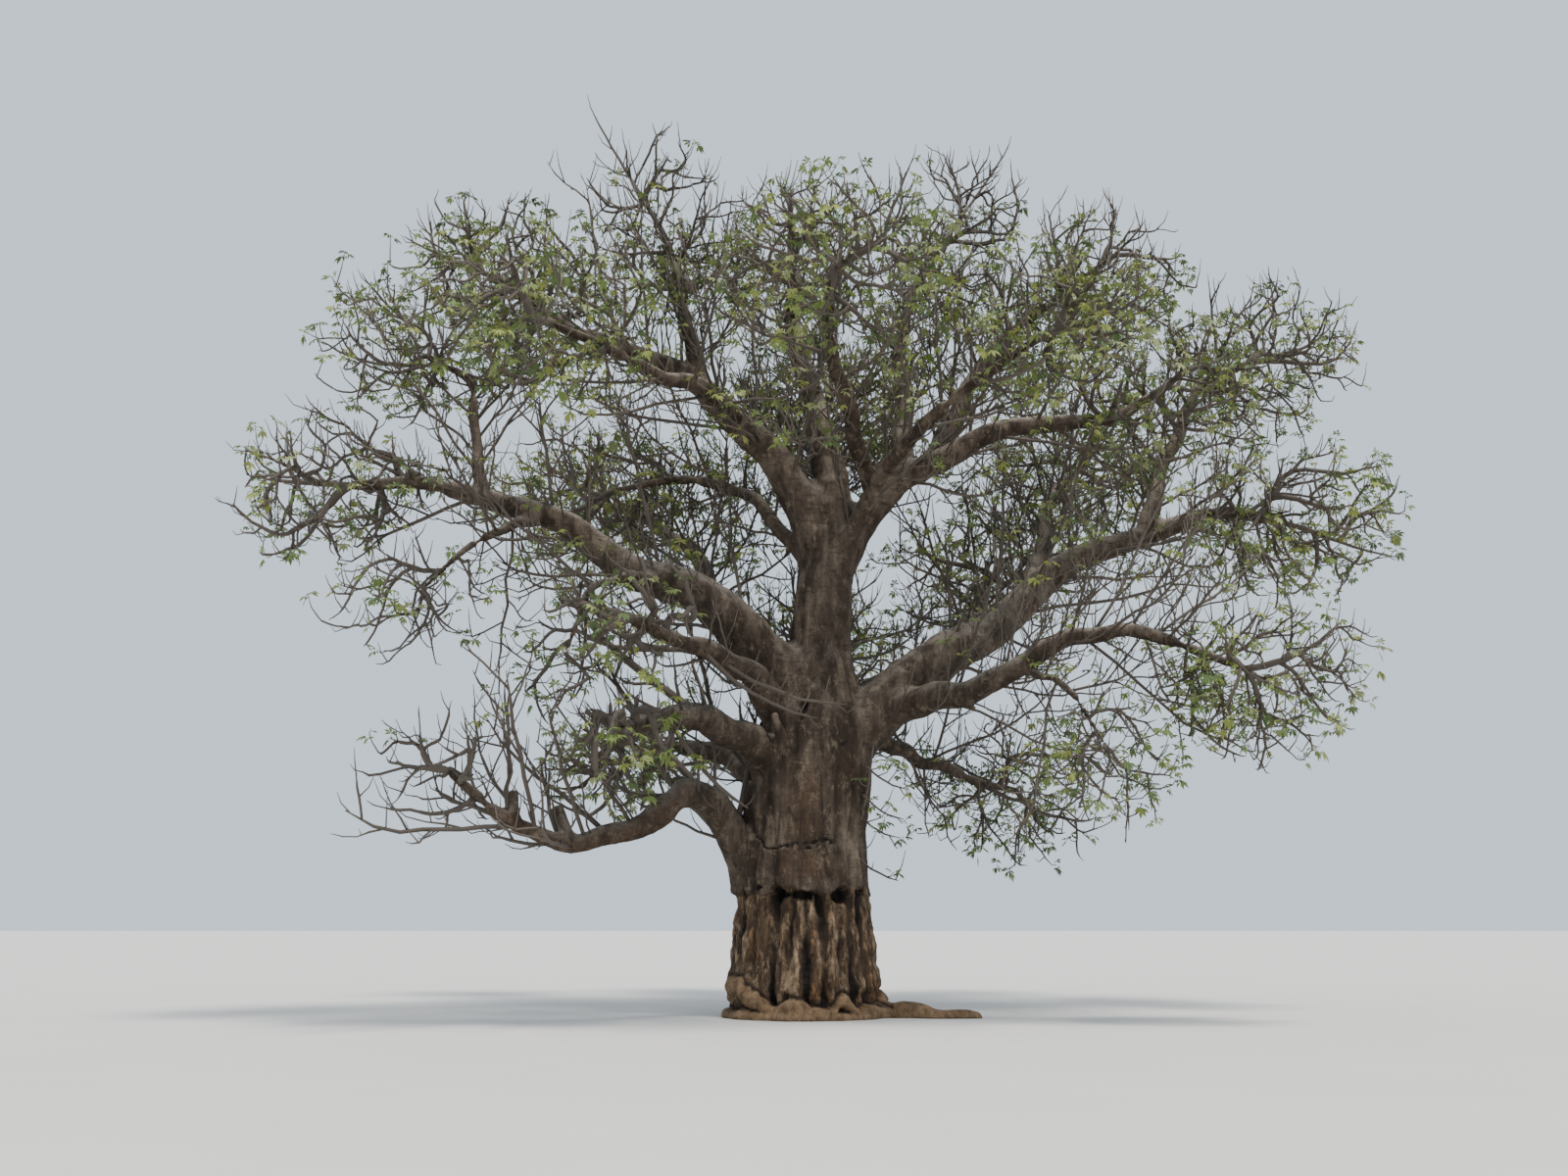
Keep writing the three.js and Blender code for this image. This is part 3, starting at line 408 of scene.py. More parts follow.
# Colours and the layers over each. A layer has its colour and what it follows, multiplied: a noise, a
# mark or how far the bark faces up, from one value to another, and how strong the layer is at each.
BARK = (0.105, 0.076, 0.054)
BARK_LAYERS = (
    ((0.215, 0.168, 0.127), ("blotches", 0.35, 0.65)),
    ((0.052, 0.035, 0.025), ("streaks", 0.42, 0.66)),
    # Lighter where the bark faces up: a painted highlight from the light above.
    ((0.46, 0.405, 0.345), ("up", 0.2, 0.95, 0, 0.8)),
    # Darker where the bark faces down: painted shade underneath.
    ((0.05, 0.036, 0.027), ("up", -0.2, -0.8, 0, 0.6)),
    ((0.27, 0.22, 0.17), ("smears", 0.44, 0.32, 0, 0.5)),
    # Painted shade of the crown, broken up by the streaks, on the trunk and on the boughs near it.
    ((0.037, 0.022, 0.013), ("stained",), ("streaks", 0.36, 0.56, 0.55, 0.97)),
    ((0.022, 0.014, 0.009), ("smears", 0.5, 0.62, 0, 0.8)),
    ((0.115, 0.066, 0.037), ("warm",), ("mottle", 0.38, 0.62, 0.8, 0.15)),
    ((0.28, 0.222, 0.16), ("pale",), ("streaks", 0.4, 0.58, 0.6, 0.15)),
    ((0.29, 0.23, 0.165), ("mottle", 0.47, 0.36, 0, 0.6)),
    ((0.026, 0.019, 0.014), ("mottle", 0.54, 0.66, 0, 0.7)),
    ((0.026, 0.018, 0.012), ("wrinkles", 0.56, 0.66, 0, 0.5)),
)
WOOD = (0.028, 0.017, 0.01)
WOOD_LAYERS = (
    ((0.15, 0.092, 0.05), ("fibres", 0.35, 0.65)),
    ((0.5, 0.35, 0.215), ("flakes", 0.49, 0.64)),
    ((0.38, 0.185, 0.075), ("rust", 0.56, 0.63), ("flakes", 0.45, 0.55)),
)
ROOT = (0.1, 0.06, 0.031)
ROOT_LAYERS = (((0.36, 0.23, 0.128), ("flakes", 0.35, 0.62)),)
LAST_LAYERS = (
    # Painted shade in the hollows, furrows, creases and crack, and in the groove above the roots.
    ((0.012, 0.009, 0.007), ("hollow", 0.05, 0.7)),
    ((0.05, 0.038, 0.03), ("grain", 0.3, 0.7, 0.35, 0)),
)
BARK_ROUGHNESS = (0.3, 0.7, 0.72, 0.92)  # along the grain's noise
BARK_SHINE = 0.2
BUMP = {"Strength": 0.9, "Distance": 0.035}
BARK_BUMPS = {"mottle": 1.6, "streaks": 1.2, "grain": 1, "wrinkles": -1}

# The stage: a pale floor, a bright overcast sky and a soft sun high above.
FLOOR_REACH = 340.0
FLOOR_DROP = 0.002
FLOOR_COLOURS = ((0.6, 0.58, 0.55), (0.66, 0.64, 0.61))
FLOOR_SPOTS = 0.4
FLOOR_ROUGHNESS = 0.95
SKY = {"Color": (0.75, 0.86, 0.98, 1), "Strength": 1.12}
SUN_COLOUR = (1.0, 0.95, 0.88)
SUN_STRENGTH = 4.2
SUN_WIDTH = 12
SUN_TILT = (16, 14)
VIEW_END = 500


def unit(vectors):
    """The same directions with a length of one."""
    vectors = np.asarray(vectors, float)
    return vectors / np.maximum(np.linalg.norm(vectors, axis=-1, keepdims=True), 1e-9)


def heading(compass, rise):
    turn, up = math.radians(compass), math.radians(rise)
    return np.array([math.cos(turn) * math.cos(up), math.sin(turn) * math.cos(up), math.sin(up)])


def smooth_step(low, high, value):
    share = np.clip((value - low) / (high - low), 0, 1)
    return share * share * (3 - 2 * share)


def within(first, last, fade, values):
    """1 between first and last, fading to 0 at both."""
    return smooth_step(first, first + fade, values) * smooth_step(last, last - fade, values)


def bezier(corners, t):
    """Points of cubic curves: corners are four arrays of places, t the shares along them."""
    a, b, c, d = corners
    return (1 - t) ** 3 * a + 3 * (1 - t) ** 2 * t * b + 3 * (1 - t) * t**2 * c + t**3 * d


def listed(table, name):
    """The share in a table whose keys are the starts of names, or 1."""
    return next((share for start, share in table.items() if name.startswith(start)), 1)


class Limb:
    """A line with a radius, both given by the share of the line's length."""

    STEPS = 200
    NUDGE = 1e-3

    def __init__(self, point, radius_at):
        self.point = point
        self.radius_at = radius_at
        self.shares = np.linspace(0, 1, self.STEPS + 1)
        ways = np.linalg.norm(np.diff(point(self.shares), axis=0), axis=1)
        self.reached = np.concatenate([[0], np.cumsum(ways)])
        self.length = self.reached[-1]

    def at(self, share):
        return self.point(np.interp(np.asarray(share, float) * self.length, self.reached, self.shares))

    def towards(self, share):
        low = np.clip(np.asarray(share, float) - self.NUDGE, 0, 1)
        return unit(self.at(np.minimum(low + 2 * self.NUDGE, 1)) - self.at(low))


def random_from(seed):
    """The solids' own repeatable series of numbers from 0 to 1."""
    mask = 0xFFFFFFFF
    state = seed

    def draw():
        nonlocal state
        state = (state + 0x6D2B79F5) & mask
        mixed = ((state ^ (state >> 15)) * (state | 1)) & mask
        mixed ^= (mixed + ((mixed ^ (mixed >> 7)) * (mixed | 61))) & mask
        return ((mixed ^ (mixed >> 14)) & mask) / 4294967296

    return draw


def noise_at(places, scale, octaves):
    """Smooth noise from -1 to 1 at places, whose features are about scale metres apart."""
    return np.array([noise.fractal(Vector(place), 1.0, 2.0, octaves) for place in places / scale])


# The limbs.


def trunk_point(t):
    height = TRUNK_HEIGHT * np.asarray(t, float)
    lean = TRUNK_LEAN * np.maximum(height - TRUNK_WAIST, 0) / (TRUNK_HEIGHT - TRUNK_WAIST)
    return np.stack([lean, np.zeros_like(height), height], axis=-1)


def trunk_radius(t):
    heights, girths = zip(*TRUNK_GIRTHS)
    return np.interp(np.asarray(t, float) * TRUNK_HEIGHT, heights, girths) / 2


def limb_line(start, leaves, end, arrives, phase):
    """A curve that sways a little, as a function of the share along it."""
    length = np.linalg.norm(end - start)
    corners = (start, start + leaves * length / HANDLE, end - arrives * length / HANDLE, end)
    side = unit(np.cross(end - start, UP))

    def point(t):
        t = np.asarray(t, float)[..., None]
        sway = length * WAVER * np.sin(math.pi * t) ** 2
        aside = side * np.sin(TURN * WAVES[0] * t + phase)
        up = UP * np.sin(TURN * WAVES[1] * t + 2 * phase)
        return bezier(corners, t) + sway * (aside + up)

    return point


def limb_radius(girths, t):
    foot, tip = girths
    thinned = np.clip(1 - np.asarray(t, float), 0, 1)
    return (tip + (foot - tip) * thinned**LIMB_TAPER) / 2 * (1 + COLLAR * thinned**COLLAR_FADE)


def build_limbs():
    limbs = {"trunk": Limb(trunk_point, trunk_radius)}
    for name, (parent, share, off, leaves, reach, arrives, girths) in LIMBS.items():
        bearer = limbs[parent]
        start = bearer.at(share) + heading(leaves[0], 0) * off * bearer.radius_at(share)
        line = limb_line(start, heading(*leaves), np.array(reach), heading(*arrives), len(limbs))
        limbs[name] = Limb(line, lambda t, girths=girths: limb_radius(girths, t))
    return limbs


def build_stem(mass, limb):
    """A mass's stem: it goes on from its bough's tip towards the middle of the space."""
    foot = limb.at(1)
    end = foot + (np.array(mass[1]) - foot) * STEM_REACH
    length = np.linalg.norm(end - foot)
    corners = (foot, foot + limb.towards(1) * length / HANDLE, end + (foot - end) / HANDLE, end)
    thick = float(limb.radius_at(1)) * STEM_GIRTH
    return Limb(
        lambda t: bezier(corners, np.asarray(t, float)[..., None]),
        lambda t: thick * (1 - STEM_TAPER * np.asarray(t, float)))


def build_stubs(limbs):
    """The broken stubs, as short limbs."""
    made = {}
    for number, (bearer, share, way, length, radius) in enumerate(STUBS):
        on = limbs[bearer]
        towards = heading(*way)
        level = unit(towards * (1, 1, 0)) if bearer == "trunk" else towards
        start = on.at(share) + level * on.radius_at(share) * STUB_DEPTH
        end = start + towards * length
        made[f"stub_{number}"] = Limb(
            lambda t, ends=(start, end): ends[0] + np.asarray(t)[..., None] * (ends[1] - ends[0]),
            lambda t, wide=radius: wide * (1 - STUB_TAPER * np.asarray(t, float)))
    return made


# The twigs' spaces and what they keep off.

MIDDLES, HALVES = (np.array([mass[k] for mass in MASSES.values()]) for k in (1, 2))


def depths_in(places):
    """How far out places lie in every mass's space: 0 at its middle and 1 at its edge."""
    return np.linalg.norm((places[:, None] - MIDDLES) / HALVES, axis=2)


def in_box(places, low, high):
    return ((places > low) & (places < high)).all(axis=1)


def in_space(index, places, limit=1.0):
    """Whether places are in a mass's own space, which ends where another mass's begins."""
    depths = depths_in(places)
    own = depths[:, index].copy()
    depths[:, index] = np.inf
    return (own <= limit) & (depths.min(axis=1) > own + CELL_MARGIN)


class Obstacles:
    """Places along limbs and stems that twigs keep off, with the number of each one's mass and limb."""

    def __init__(self, limbs, stems):
        owner_of = {mass[0]: index for index, mass in enumerate(MASSES.values())}
        parts = [(limb, owner_of.get(name, -1)) for name, limb in limbs.items()]
        parts += [(stem, index) for index, stem in enumerate(stems)]
        rows = []
        for number, (limb, owner) in enumerate(parts):
            count = math.ceil(limb.length / PROBE_SPACING) + 1
            shares = np.linspace(0, 1, count)
            numbers = (np.full(count, owner), np.full(count, number))
            rows.append((limb.at(shares), limb.radius_at(shares), *numbers))
        self.places, self.radii, self.owners, self.limbs = (np.concatenate(column) for column in zip(*rows))

    def clear(self, places, skipped):
        """Whether places keep off everything but what is skipped."""
        gaps = np.linalg.norm(places[:, None] - self.places[~skipped], axis=2) - self.radii[~skipped]
        return gaps.min(axis=1) > KEEP_OFF


# Growing the twigs.


def first_tips(index, name, foot):
    """The twig ends of the solids, by their own rule, sorted by their distance from the stem's foot."""
    draw = random_from(SEED + index)
    middle, half = MIDDLES[index], HALVES[index]
    tips = []
    while len(tips) < TIPS:
        tried = np.array([[2 * draw() - 1 for _ in range(3)] for _ in range(CANDIDATES)])
        places = middle + half * tried
        fits = in_space(index, places, TIP_DEPTH)
        gaps = np.linalg.norm((places - middle) / half, axis=1)
        for tip in tips:
            gaps = np.minimum(gaps, np.linalg.norm(places - tip, axis=1))
        if fits.any():
            tips.append(places[np.argmax(np.where(fits, gaps, -1))])
    tips.sort(key=lambda tip: np.linalg.norm(tip - foot))
    leads = [np.array(LEADS[name])] if name in LEADS else []
    return leads + tips


def outline(index, places):
    """How far out a mass reaches towards places, as a share, so that its outline is uneven."""
    ways = unit((places - MIDDLES[index]) / HALVES[index]) + LOBE_SHIFT * index
    return INLET + (1 - INLET) * smooth_step(-0.3, 0.3, noise_at(ways, LOBES, 2))


def finer_tips(index, name, level, taken, foot, rng):
    """More twig ends, spread evenly among those there are."""
    low, high = level["depth"]
    volume = TURN * 2 / 3 * np.prod(HALVES[index])
    wanted = round(level["density"] * volume * listed(FULLNESS, name))
    pool = MIDDLES[index] + HALVES[index] * rng.uniform(-1, 1, (wanted * POOL, 3))
    pool = pool[in_space(index, pool, high) & in_box(pool, *REACH)]
    depths = depths_in(pool)[:, index]
    pool = pool[(depths > low) & (depths < high * outline(index, pool))]
    taken = list(taken)
    tips = []
    for _ in range(wanted):
        places = pool[rng.integers(0, len(pool), FINE_CANDIDATES)]
        gaps = np.linalg.norm(places[:, None] - np.array(taken), axis=2).min(axis=1)
        best = places[np.argmax(gaps)]
        taken.append(best)
        tips.append(best)
    tips.sort(key=lambda tip: np.linalg.norm(tip - foot))
    return tips


class Joints:
    """The places where further twigs can leave, with the way their bearers run there, how much twig
    lies before each, how many twigs leave it already, and its owner and the share along that one."""

    def __init__(self):
        self.places, self.towards = np.zeros((2, 0, 3))
        self.travelled, self.twigs = np.zeros((2, 0))
        self.owners = []

    def add(self, places, towards, travelled, owner, shares):
        self.places = np.concatenate([self.places, places])
        self.towards = np.concatenate([self.towards, towards])
        self.travelled = np.concatenate([self.travelled, travelled])
        self.twigs = np.concatenate([self.twigs, np.zeros(len(places))])
        self.owners += [(owner, share) for share in shares]

    def nearest(self, tip, crowding):
        """The joint that a new tip is cheapest to reach from."""
        way = tip - self.places
        lengths = np.linalg.norm(way, axis=1)
        turns = 1 - (unit(way) * self.towards).sum(axis=1)
        cost = lengths * (1 + TURN_COST * turns) + THRIFT * self.travelled + crowding * self.twigs
        return int(np.argmin(cost))


def twig_path(start, towards, tip, level, bend, rng):
    """A crooked twig that leaves along its bearer and turns up towards its end."""
    points = level["points"]
    way = tip - start
    length = np.linalg.norm(way)
    leaves = unit(unit(way) + towards * LEAVING * bend)
    arrives = unit(unit(way) + UP * level["upturn"] * bend)
    corners = (start, start + leaves * length * TWIG_HANDLE, tip - arrives * length * TWIG_HANDLE, tip)
    path = bezier(corners, np.linspace(0, 1, points)[:, None])
    path[1:-1] += rng.normal(0, CROOKED * length / points * bend, (points - 2, 3))
    return path


def lengths_along(path):
    """How much of a path's length lies before each of its points, as shares, and the whole length."""
    ways = np.linalg.norm(np.diff(path, axis=0), axis=1)
    return np.concatenate([[0], np.cumsum(ways)]) / ways.sum(), ways.sum()


def place_on(path, reached, share):
    """The place at a share of a path's length and the way it runs there."""
    place = np.array([np.interp(share, reached, path[:, k]) for k in range(3)])
    step = np.clip(np.searchsorted(reached, share), 1, len(path) - 1)
    return place, unit(path[step] - path[step - 1])


def sideways(along, turn):
    """A direction square to another one."""
    aside = unit(np.cross(along, LEANING))
    return aside * math.cos(turn) + np.cross(along, aside) * math.sin(turn)


def leaving(along, out, shares):
    """The way of a twig that leaves its bearer outwards, along it and upwards by these shares."""
    outwards, onwards, upwards = shares
    return unit(out * outwards + along * onwards + UP * upwards)


class Mass:
    """One mass's stem and twigs: their paths, what bears each of them, and the shoots along them.

    A bearer is the number of a twig, or STEM or BOUGH, with the share of its length. A free twig may
    leave the mass's space."""

    STEM = -1
    BOUGH = -2

    def __init__(self, index, name, stem, obstacles):
        self.index = index
        self.name = name
        self.stem = stem
        self.leafy = MASSES[name][3] * LEAFY
        self.obstacles = obstacles
        self.own = obstacles.owners == index
        self.rng = np.random.default_rng(SEED + index)
        self.paths, self.bearers, self.sides, self.leafiness, self.free = [], [], [], [], []
        self.joints = Joints()
        feet = stem.at(STEM_JOINTS)
        self.joints.add(feet, stem.towards(STEM_JOINTS), np.zeros(3), self.STEM, STEM_JOINTS)

    def keep(self, path, bearer, level, leafiness, free):
        self.paths.append(path)
        self.bearers.append(bearer)
        self.sides.append(level["sides"])
        self.leafiness.append(leafiness)
        self.free.append(free)

    def fits(self, places):
        """Whether places are in the mass's own space and inside the solids' own reach."""
        return in_space(self.index, places) & in_box(places, *REACH)

    def grow(self, tip, level, is_lead=False):
        """Grows a twig to a tip from the joint that is cheapest, unless something is in its way."""
        joints = self.joints
        chosen = joints.nearest(tip, level["crowding"])
        for bend in LEAD_BENDS if is_lead else BENDS:
            path = twig_path(joints.places[chosen], joints.towards[chosen], tip, level, bend, self.rng)
            if (is_lead or self.fits(path[2:]).all()) and self.obstacles.clear(path[2:], self.own).all():
                break
        else:
            return
        joints.twigs[chosen] += 1
        reached, length = lengths_along(path)
        places, towards = zip(*(place_on(path, reached, share) for share in TWIG_JOINTS))
        travelled = joints.travelled[chosen] + np.array(TWIG_JOINTS) * length
        bearer = joints.owners[chosen]
        joints.add(np.array(places), np.array(towards), travelled, len(self.paths), TWIG_JOINTS)
        self.keep(path, bearer, level, self.leafy * (LEAD_LEAFINESS if is_lead else 1), is_lead)

    def grow_all(self):
        foot = self.stem.at(0)
        tips = first_tips(self.index, self.name, foot)
        for order, tip in enumerate(tips):
            self.grow(tip, FIRST, is_lead=self.name in LEADS and order == 0)
        for level in (BRANCHLETS, TWIGS):
            more = finer_tips(self.index, self.name, level, tips, foot, self.rng)
            for tip in more:
                self.grow(tip, level)
            tips = tips + more

    def sprout(self, start, way, level, bearer, skipped):
        """Grows a free twig from a place on a bough or a branch, unless something is in its way."""
        tip = start + way * self.rng.uniform(*level["reach"])
        path = twig_path(start, way, tip, level, 1.0, self.rng)
        in_view = in_box(path, *TRUNK_VIEW).any()
        in_crown = in_box(path, *SPRIG_BOX).all()
        if in_crown and not in_view and self.obstacles.clear(path[2:], skipped).all():
            self.keep(path, bearer, level, self.leafy * SPRIG_LEAFINESS, True)
            return len(self.paths) - 1
        return None

    def dress_bough(self, number, name, bough):
        """Grows branches with side twigs, and sprigs, along a bough."""
        skipped = self.obstacles.limbs == number
        wide, high, forward = OPEN_FRONT
        for level in (BRANCHES, SPRIGS):
            count = round(bough.length * (1 - BARE_FOOT) / level["spacing"] / listed(CLOSER, name))
            turn = self.rng.random() * TURN
            for order in range(count):
                share = BARE_FOOT + (LAST_SHARE - BARE_FOOT) * (order + self.rng.random()) / count
                along = bough.towards(share)
                out = sideways(along, turn + order * GOLDEN)
                start = bough.at(share) + out * bough.radius_at(share) * ROOTED
                way = leaving(along, out, BRANCH_WAY)
                if level is BRANCHES and abs(start[0]) < wide and start[2] < high and way[1] < forward:
                    continue
                made = self.sprout(start, way, level, (self.BOUGH, 0), skipped)
                if made is not None and level is BRANCHES:
                    self.add_side_twigs(made, skipped)

    def add_side_twigs(self, number, skipped):
        path = self.paths[number]
        reached, _ = lengths_along(path)
        turn = self.rng.random() * TURN
        for order, share in enumerate(SIDE_SHARES):
            place, along = place_on(path, reached, share)
            way = leaving(along, sideways(along, turn + order * GOLDEN), SIDE_WAY)
            self.sprout(place, way, SIDE_TWIGS, (number, share), skipped)

    def shoots(self):
        """Short shoots along the twigs: their paths, and the twig and share that each is on."""
        rows = []
        part = BARE_MASS[1] if MASSES[self.name][3] < BARE_MASS[0] else 1
        for number, path in enumerate(self.paths):
            reached, length = lengths_along(path)
            count = int(length * (1 - SHOOT_START) * part / SHOOT_SPACING + self.rng.random())
            steps = (np.arange(count) + self.rng.random(count)) / max(count, 1)
            turn = self.rng.random() * TURN
            for order, share in enumerate(np.minimum(SHOOT_START + (1 - SHOOT_START) * steps, LAST_SHARE)):
                place, along = place_on(path, reached, share)
                way = leaving(along, sideways(along, turn + order * GOLDEN), BRANCH_WAY)
                reach = self.rng.uniform(*SHOOT_LENGTHS) * (SHOOT_SHRINK[0] - SHOOT_SHRINK[1] * share)
                rows.append((place, way, reach, number, share))
        places, ways, reaches, numbers, shares = (np.array(column) for column in zip(*rows))
        paths = shoot_paths(places, ways, reaches[:, None])
        ends = paths[:, -1]
        keeps = np.array(self.free)[numbers] | self.fits(ends)
        keeps &= self.obstacles.clear(ends, self.own)
        return paths[keeps], numbers[keeps], shares[keeps]


def shoot_paths(places, ways, reach):
    """Shoots that curve up towards their ends, as (shoots, points, 3)."""
    ends = places + (ways * SHOOT_END[0] + UP * SHOOT_END[1]) * reach
    arrives = unit(ways * SHOOT_ARRIVES[0] + UP * SHOOT_ARRIVES[1])
    first, last = SHOOT_HANDLES
    corners = (places, places + ways * reach * first, ends - arrives * reach * last, ends)
    return bezier([corner[:, None] for corner in corners], np.linspace(0, 1, SHOOT_POINTS)[None, :, None])


def loads_of(mass, numbers, shares):
    """How many ends each twig bears beyond every one of its points, and the stem beyond its joints."""
    count = len(mass.paths)
    borne = [[] for _ in range(count)]
    for number, share in zip(numbers, shares):
        borne[number].append((share, 1.0))
    stem_load = 0.0
    loads = [None] * count
    for number in range(count - 1, -1, -1):
        points = np.linspace(0, 1, len(mass.paths[number]))
        load = np.ones(len(points))
        for share, weight in borne[number]:
            load += weight * smooth_step(share + FORK_FADE[0], share - FORK_FADE[1], points)
        loads[number] = load
        bearer, share = mass.bearers[number]
        if bearer >= 0:
            borne[bearer].append((share, load[0]))
        elif bearer == mass.STEM:
            stem_load += load[0]
    return loads, stem_load


# Turning lines into meshes.


def tubes(paths, radii, sides):
    """Closed tubes along paths (n, points, 3) with radii (n, points): places, sides' faces and end caps."""
    count, points = radii.shape
    towards = unit(np.gradient(paths, axis=1))
    mean = unit(paths[:, -1] - paths[:, 0])
    helper = np.where(np.abs(mean[:, 2:3]) < 0.7, UP, (1.0, 0.0, 0.0))[:, None]
    normal = unit(np.cross(towards, helper))
    across = np.cross(towards, normal)
    turns = np.arange(sides) * TURN / sides
    ring = normal[:, :, None] * np.cos(turns)[:, None] + across[:, :, None] * np.sin(turns)[:, None]
    places = (paths[:, :, None] + ring * radii[:, :, None, None]).reshape(-1, 3)
    first = (np.arange(count) * points * sides)[:, None, None]
    low = first + (np.arange(points - 1) * sides)[None, :, None]
    here = np.arange(sides)[None, None]
    ahead = (here + 1) % sides
    quads = np.stack([low + here, low + ahead, low + sides + ahead, low + sides + here], axis=-1)
    foot = first[:, 0] + np.arange(sides)[::-1]
    tip = first[:, 0] + (points - 1) * sides + np.arange(sides)
    return places, quads.reshape(-1, 4), np.concatenate([foot, tip])


def add_object(name, data):
    made = bpy.data.objects.new(name, data)
    bpy.context.collection.objects.link(made)
    return made


class Builder:
    """Gathers places and faces, each with a material's number, for one mesh."""

    def __init__(self):
        self.places, self.faces, self.looks = [], [], []
        self.count = 0

    def add(self, places, *kinds_of_faces, look=0):
        for faces in kinds_of_faces:
            self.faces.append(faces + self.count)
            self.looks.append(np.broadcast_to(look, len(faces)))
        self.places.append(places)
        self.count += len(places)

    def piece(self, name, materials, smooth):
        mesh = bpy.data.meshes.new(name)
        mesh.vertices.add(self.count)
        mesh.vertices.foreach_set("co", np.concatenate(self.places).astype(np.float32).ravel())
        corners = np.concatenate([faces.ravel() for faces in self.faces]).astype(np.int32)
        sizes = np.concatenate([np.full(len(faces), faces.shape[1]) for faces in self.faces])
        mesh.loops.add(len(corners))
        mesh.loops.foreach_set("vertex_index", corners)
        mesh.polygons.add(len(sizes))
        starts = np.concatenate([[0], np.cumsum(sizes)[:-1]]).astype(np.int32)
        mesh.polygons.foreach_set("loop_start", starts)
        for look in materials:
            mesh.materials.append(look)
        mesh.polygons.foreach_set("material_index", np.concatenate(self.looks).astype(np.int32))
        mesh.polygons.foreach_set("use_smooth", np.full(len(sizes), smooth))
        mesh.update(calc_edges=True)
        return add_object(name, mesh)


def add_leaves(builder, ends, towards, rng):
    """Palms of leaflets round the ends of shoots, one green for each end."""
    fewest, most = LEAVES_AT_AN_END
    counts = rng.integers(fewest, most + 1, len(ends))
    greens = rng.choice(len(LEAF_LOOKS), len(ends), p=GREEN_SHARES)
    owner = np.repeat(np.arange(len(ends)), counts)
    order = np.concatenate([np.arange(count) for count in counts])
    count = len(owner)
    axis = unit(towards)[owner]
    aside = unit(np.cross(axis, LEANING))
    other = np.cross(axis, aside)
    turn = (rng.random(len(ends)) * TURN)[owner] + order * TURN / counts[owner]
    turn = turn + rng.normal(0, LEAF_STRAY, count)
    spread = np.radians(rng.uniform(*LEAF_SPREAD, count))[:, None]
    out = aside * np.cos(turn)[:, None] + other * np.sin(turn)[:, None]
    way = unit(axis * np.cos(spread) + out * np.sin(spread) - UP * LEAF_DROOP)
    up = unit(UP + rng.normal(0, LEAF_TILT, way.shape) + axis * LEAF_FACING)
    up = unit(up - way * (up * way).sum(axis=1, keepdims=True))
    size = rng.uniform(*LEAF_SIZES, (count, 1))
    root = ends[owner] - axis * (order * LEAF_STEP)[:, None]
    palm = root + way * STALK_LENGTH * size
    across = np.cross(up, way)

    half = across * STALK_WIDTH / 2
    thin = half * STALK_TAPER
    stalks = np.stack([root - half, root + half, palm + thin, palm - thin], axis=1)
    builder.add(stalks.reshape(-1, 3), np.arange(count * 4).reshape(-1, 4), look=greens[owner])

    far, broad, fold = (LEAFLET[None, :, k : k + 1] for k in range(3))
    first = (np.arange(count) * len(LEAFLET))[:, None, None]
    for angle in LEAFLETS:
        turned = math.radians(angle) + rng.normal(0, LEAFLET_STRAY, (count, 1))
        along = unit(way * np.cos(turned) + across * np.sin(turned) - UP * LEAFLET_DROOP)
        beside = unit(np.cross(up, along))
        over = np.cross(along, beside)
        length = LEAFLET_LENGTH * size * (1 - LEAFLET_SHRINK * abs(angle) / 90)
        length = length * rng.uniform(*LEAFLET_SIZES, (count, 1))
        wide = (LEAFLET_WIDTH / 2 * length / LEAFLET_LENGTH)[:, None]
        places = palm[:, None] + along[:, None] * length[:, None] * far
        places = places + beside[:, None] * wide * broad + over[:, None] * wide * fold
        places = places - UP * (length[:, None] * LEAFLET_SAG * far**2)
        faces = (first + LEAFLET_FACES[None]).reshape(-1, 3)
        builder.add(places.reshape(-1, 3), faces, look=np.repeat(greens[owner], len(LEAFLET_FACES)))


# The bark.


def sides_of(faces):
    return np.concatenate([faces[:, [0, 1]], faces[:, [1, 2]], faces[:, [2, 0]]])


def union_skin(limbs):
    """The places and triangles of one closed skin round all the limbs, cut flat at the ground."""
    builder = Builder()
    for name, limb in limbs.items():
        shares = np.linspace(0, 1, max(FEWEST_STEPS, round(limb.length / TUBE_STEP)))
        path = limb.at(shares)
        radii = limb.radius_at(shares)
        if name == "trunk":
            path = np.concatenate([path[:1] - UP * UNDERGROUND, path])
            radii = np.concatenate([radii[:1], radii])
        builder.add(*tubes(path[None], radii[None], TUBE_SIDES))
    rough = builder.piece("bark_rough", [], False)
    remesh = rough.modifiers.new("remesh", "REMESH")
    remesh.mode = "VOXEL"
    remesh.voxel_size = VOXEL
    graph = bpy.context.evaluated_depsgraph_get()
    skin = bmesh.new()
    skin.from_mesh(rough.evaluated_get(graph).to_mesh())
    bpy.data.objects.remove(rough)
    bmesh.ops.bisect_plane(
        skin, geom=skin.verts[:] + skin.edges[:] + skin.faces[:], dist=1e-4, plane_co=(0, 0, 0),
        plane_no=(0, 0, 1), clear_inner=True)
    fine = {v for v in skin.verts if v.co.z < FINE_BELOW and math.hypot(v.co.x, v.co.y) < FINE_WITHIN}
    low = [edge for edge in skin.edges if fine.issuperset(edge.verts)]
    bmesh.ops.subdivide_edges(skin, edges=low, cuts=1, use_grid_fill=True)
    bmesh.ops.edgeloop_fill(skin, edges=[edge for edge in skin.edges if edge.is_boundary])
    bmesh.ops.triangulate(skin, faces=skin.faces[:])
    skin.verts.index_update()
    places = np.array([vertex.co[:] for vertex in skin.verts])
    faces = np.array([[vertex.index for vertex in face.verts] for face in skin.faces])
    skin.free()
    return places, faces


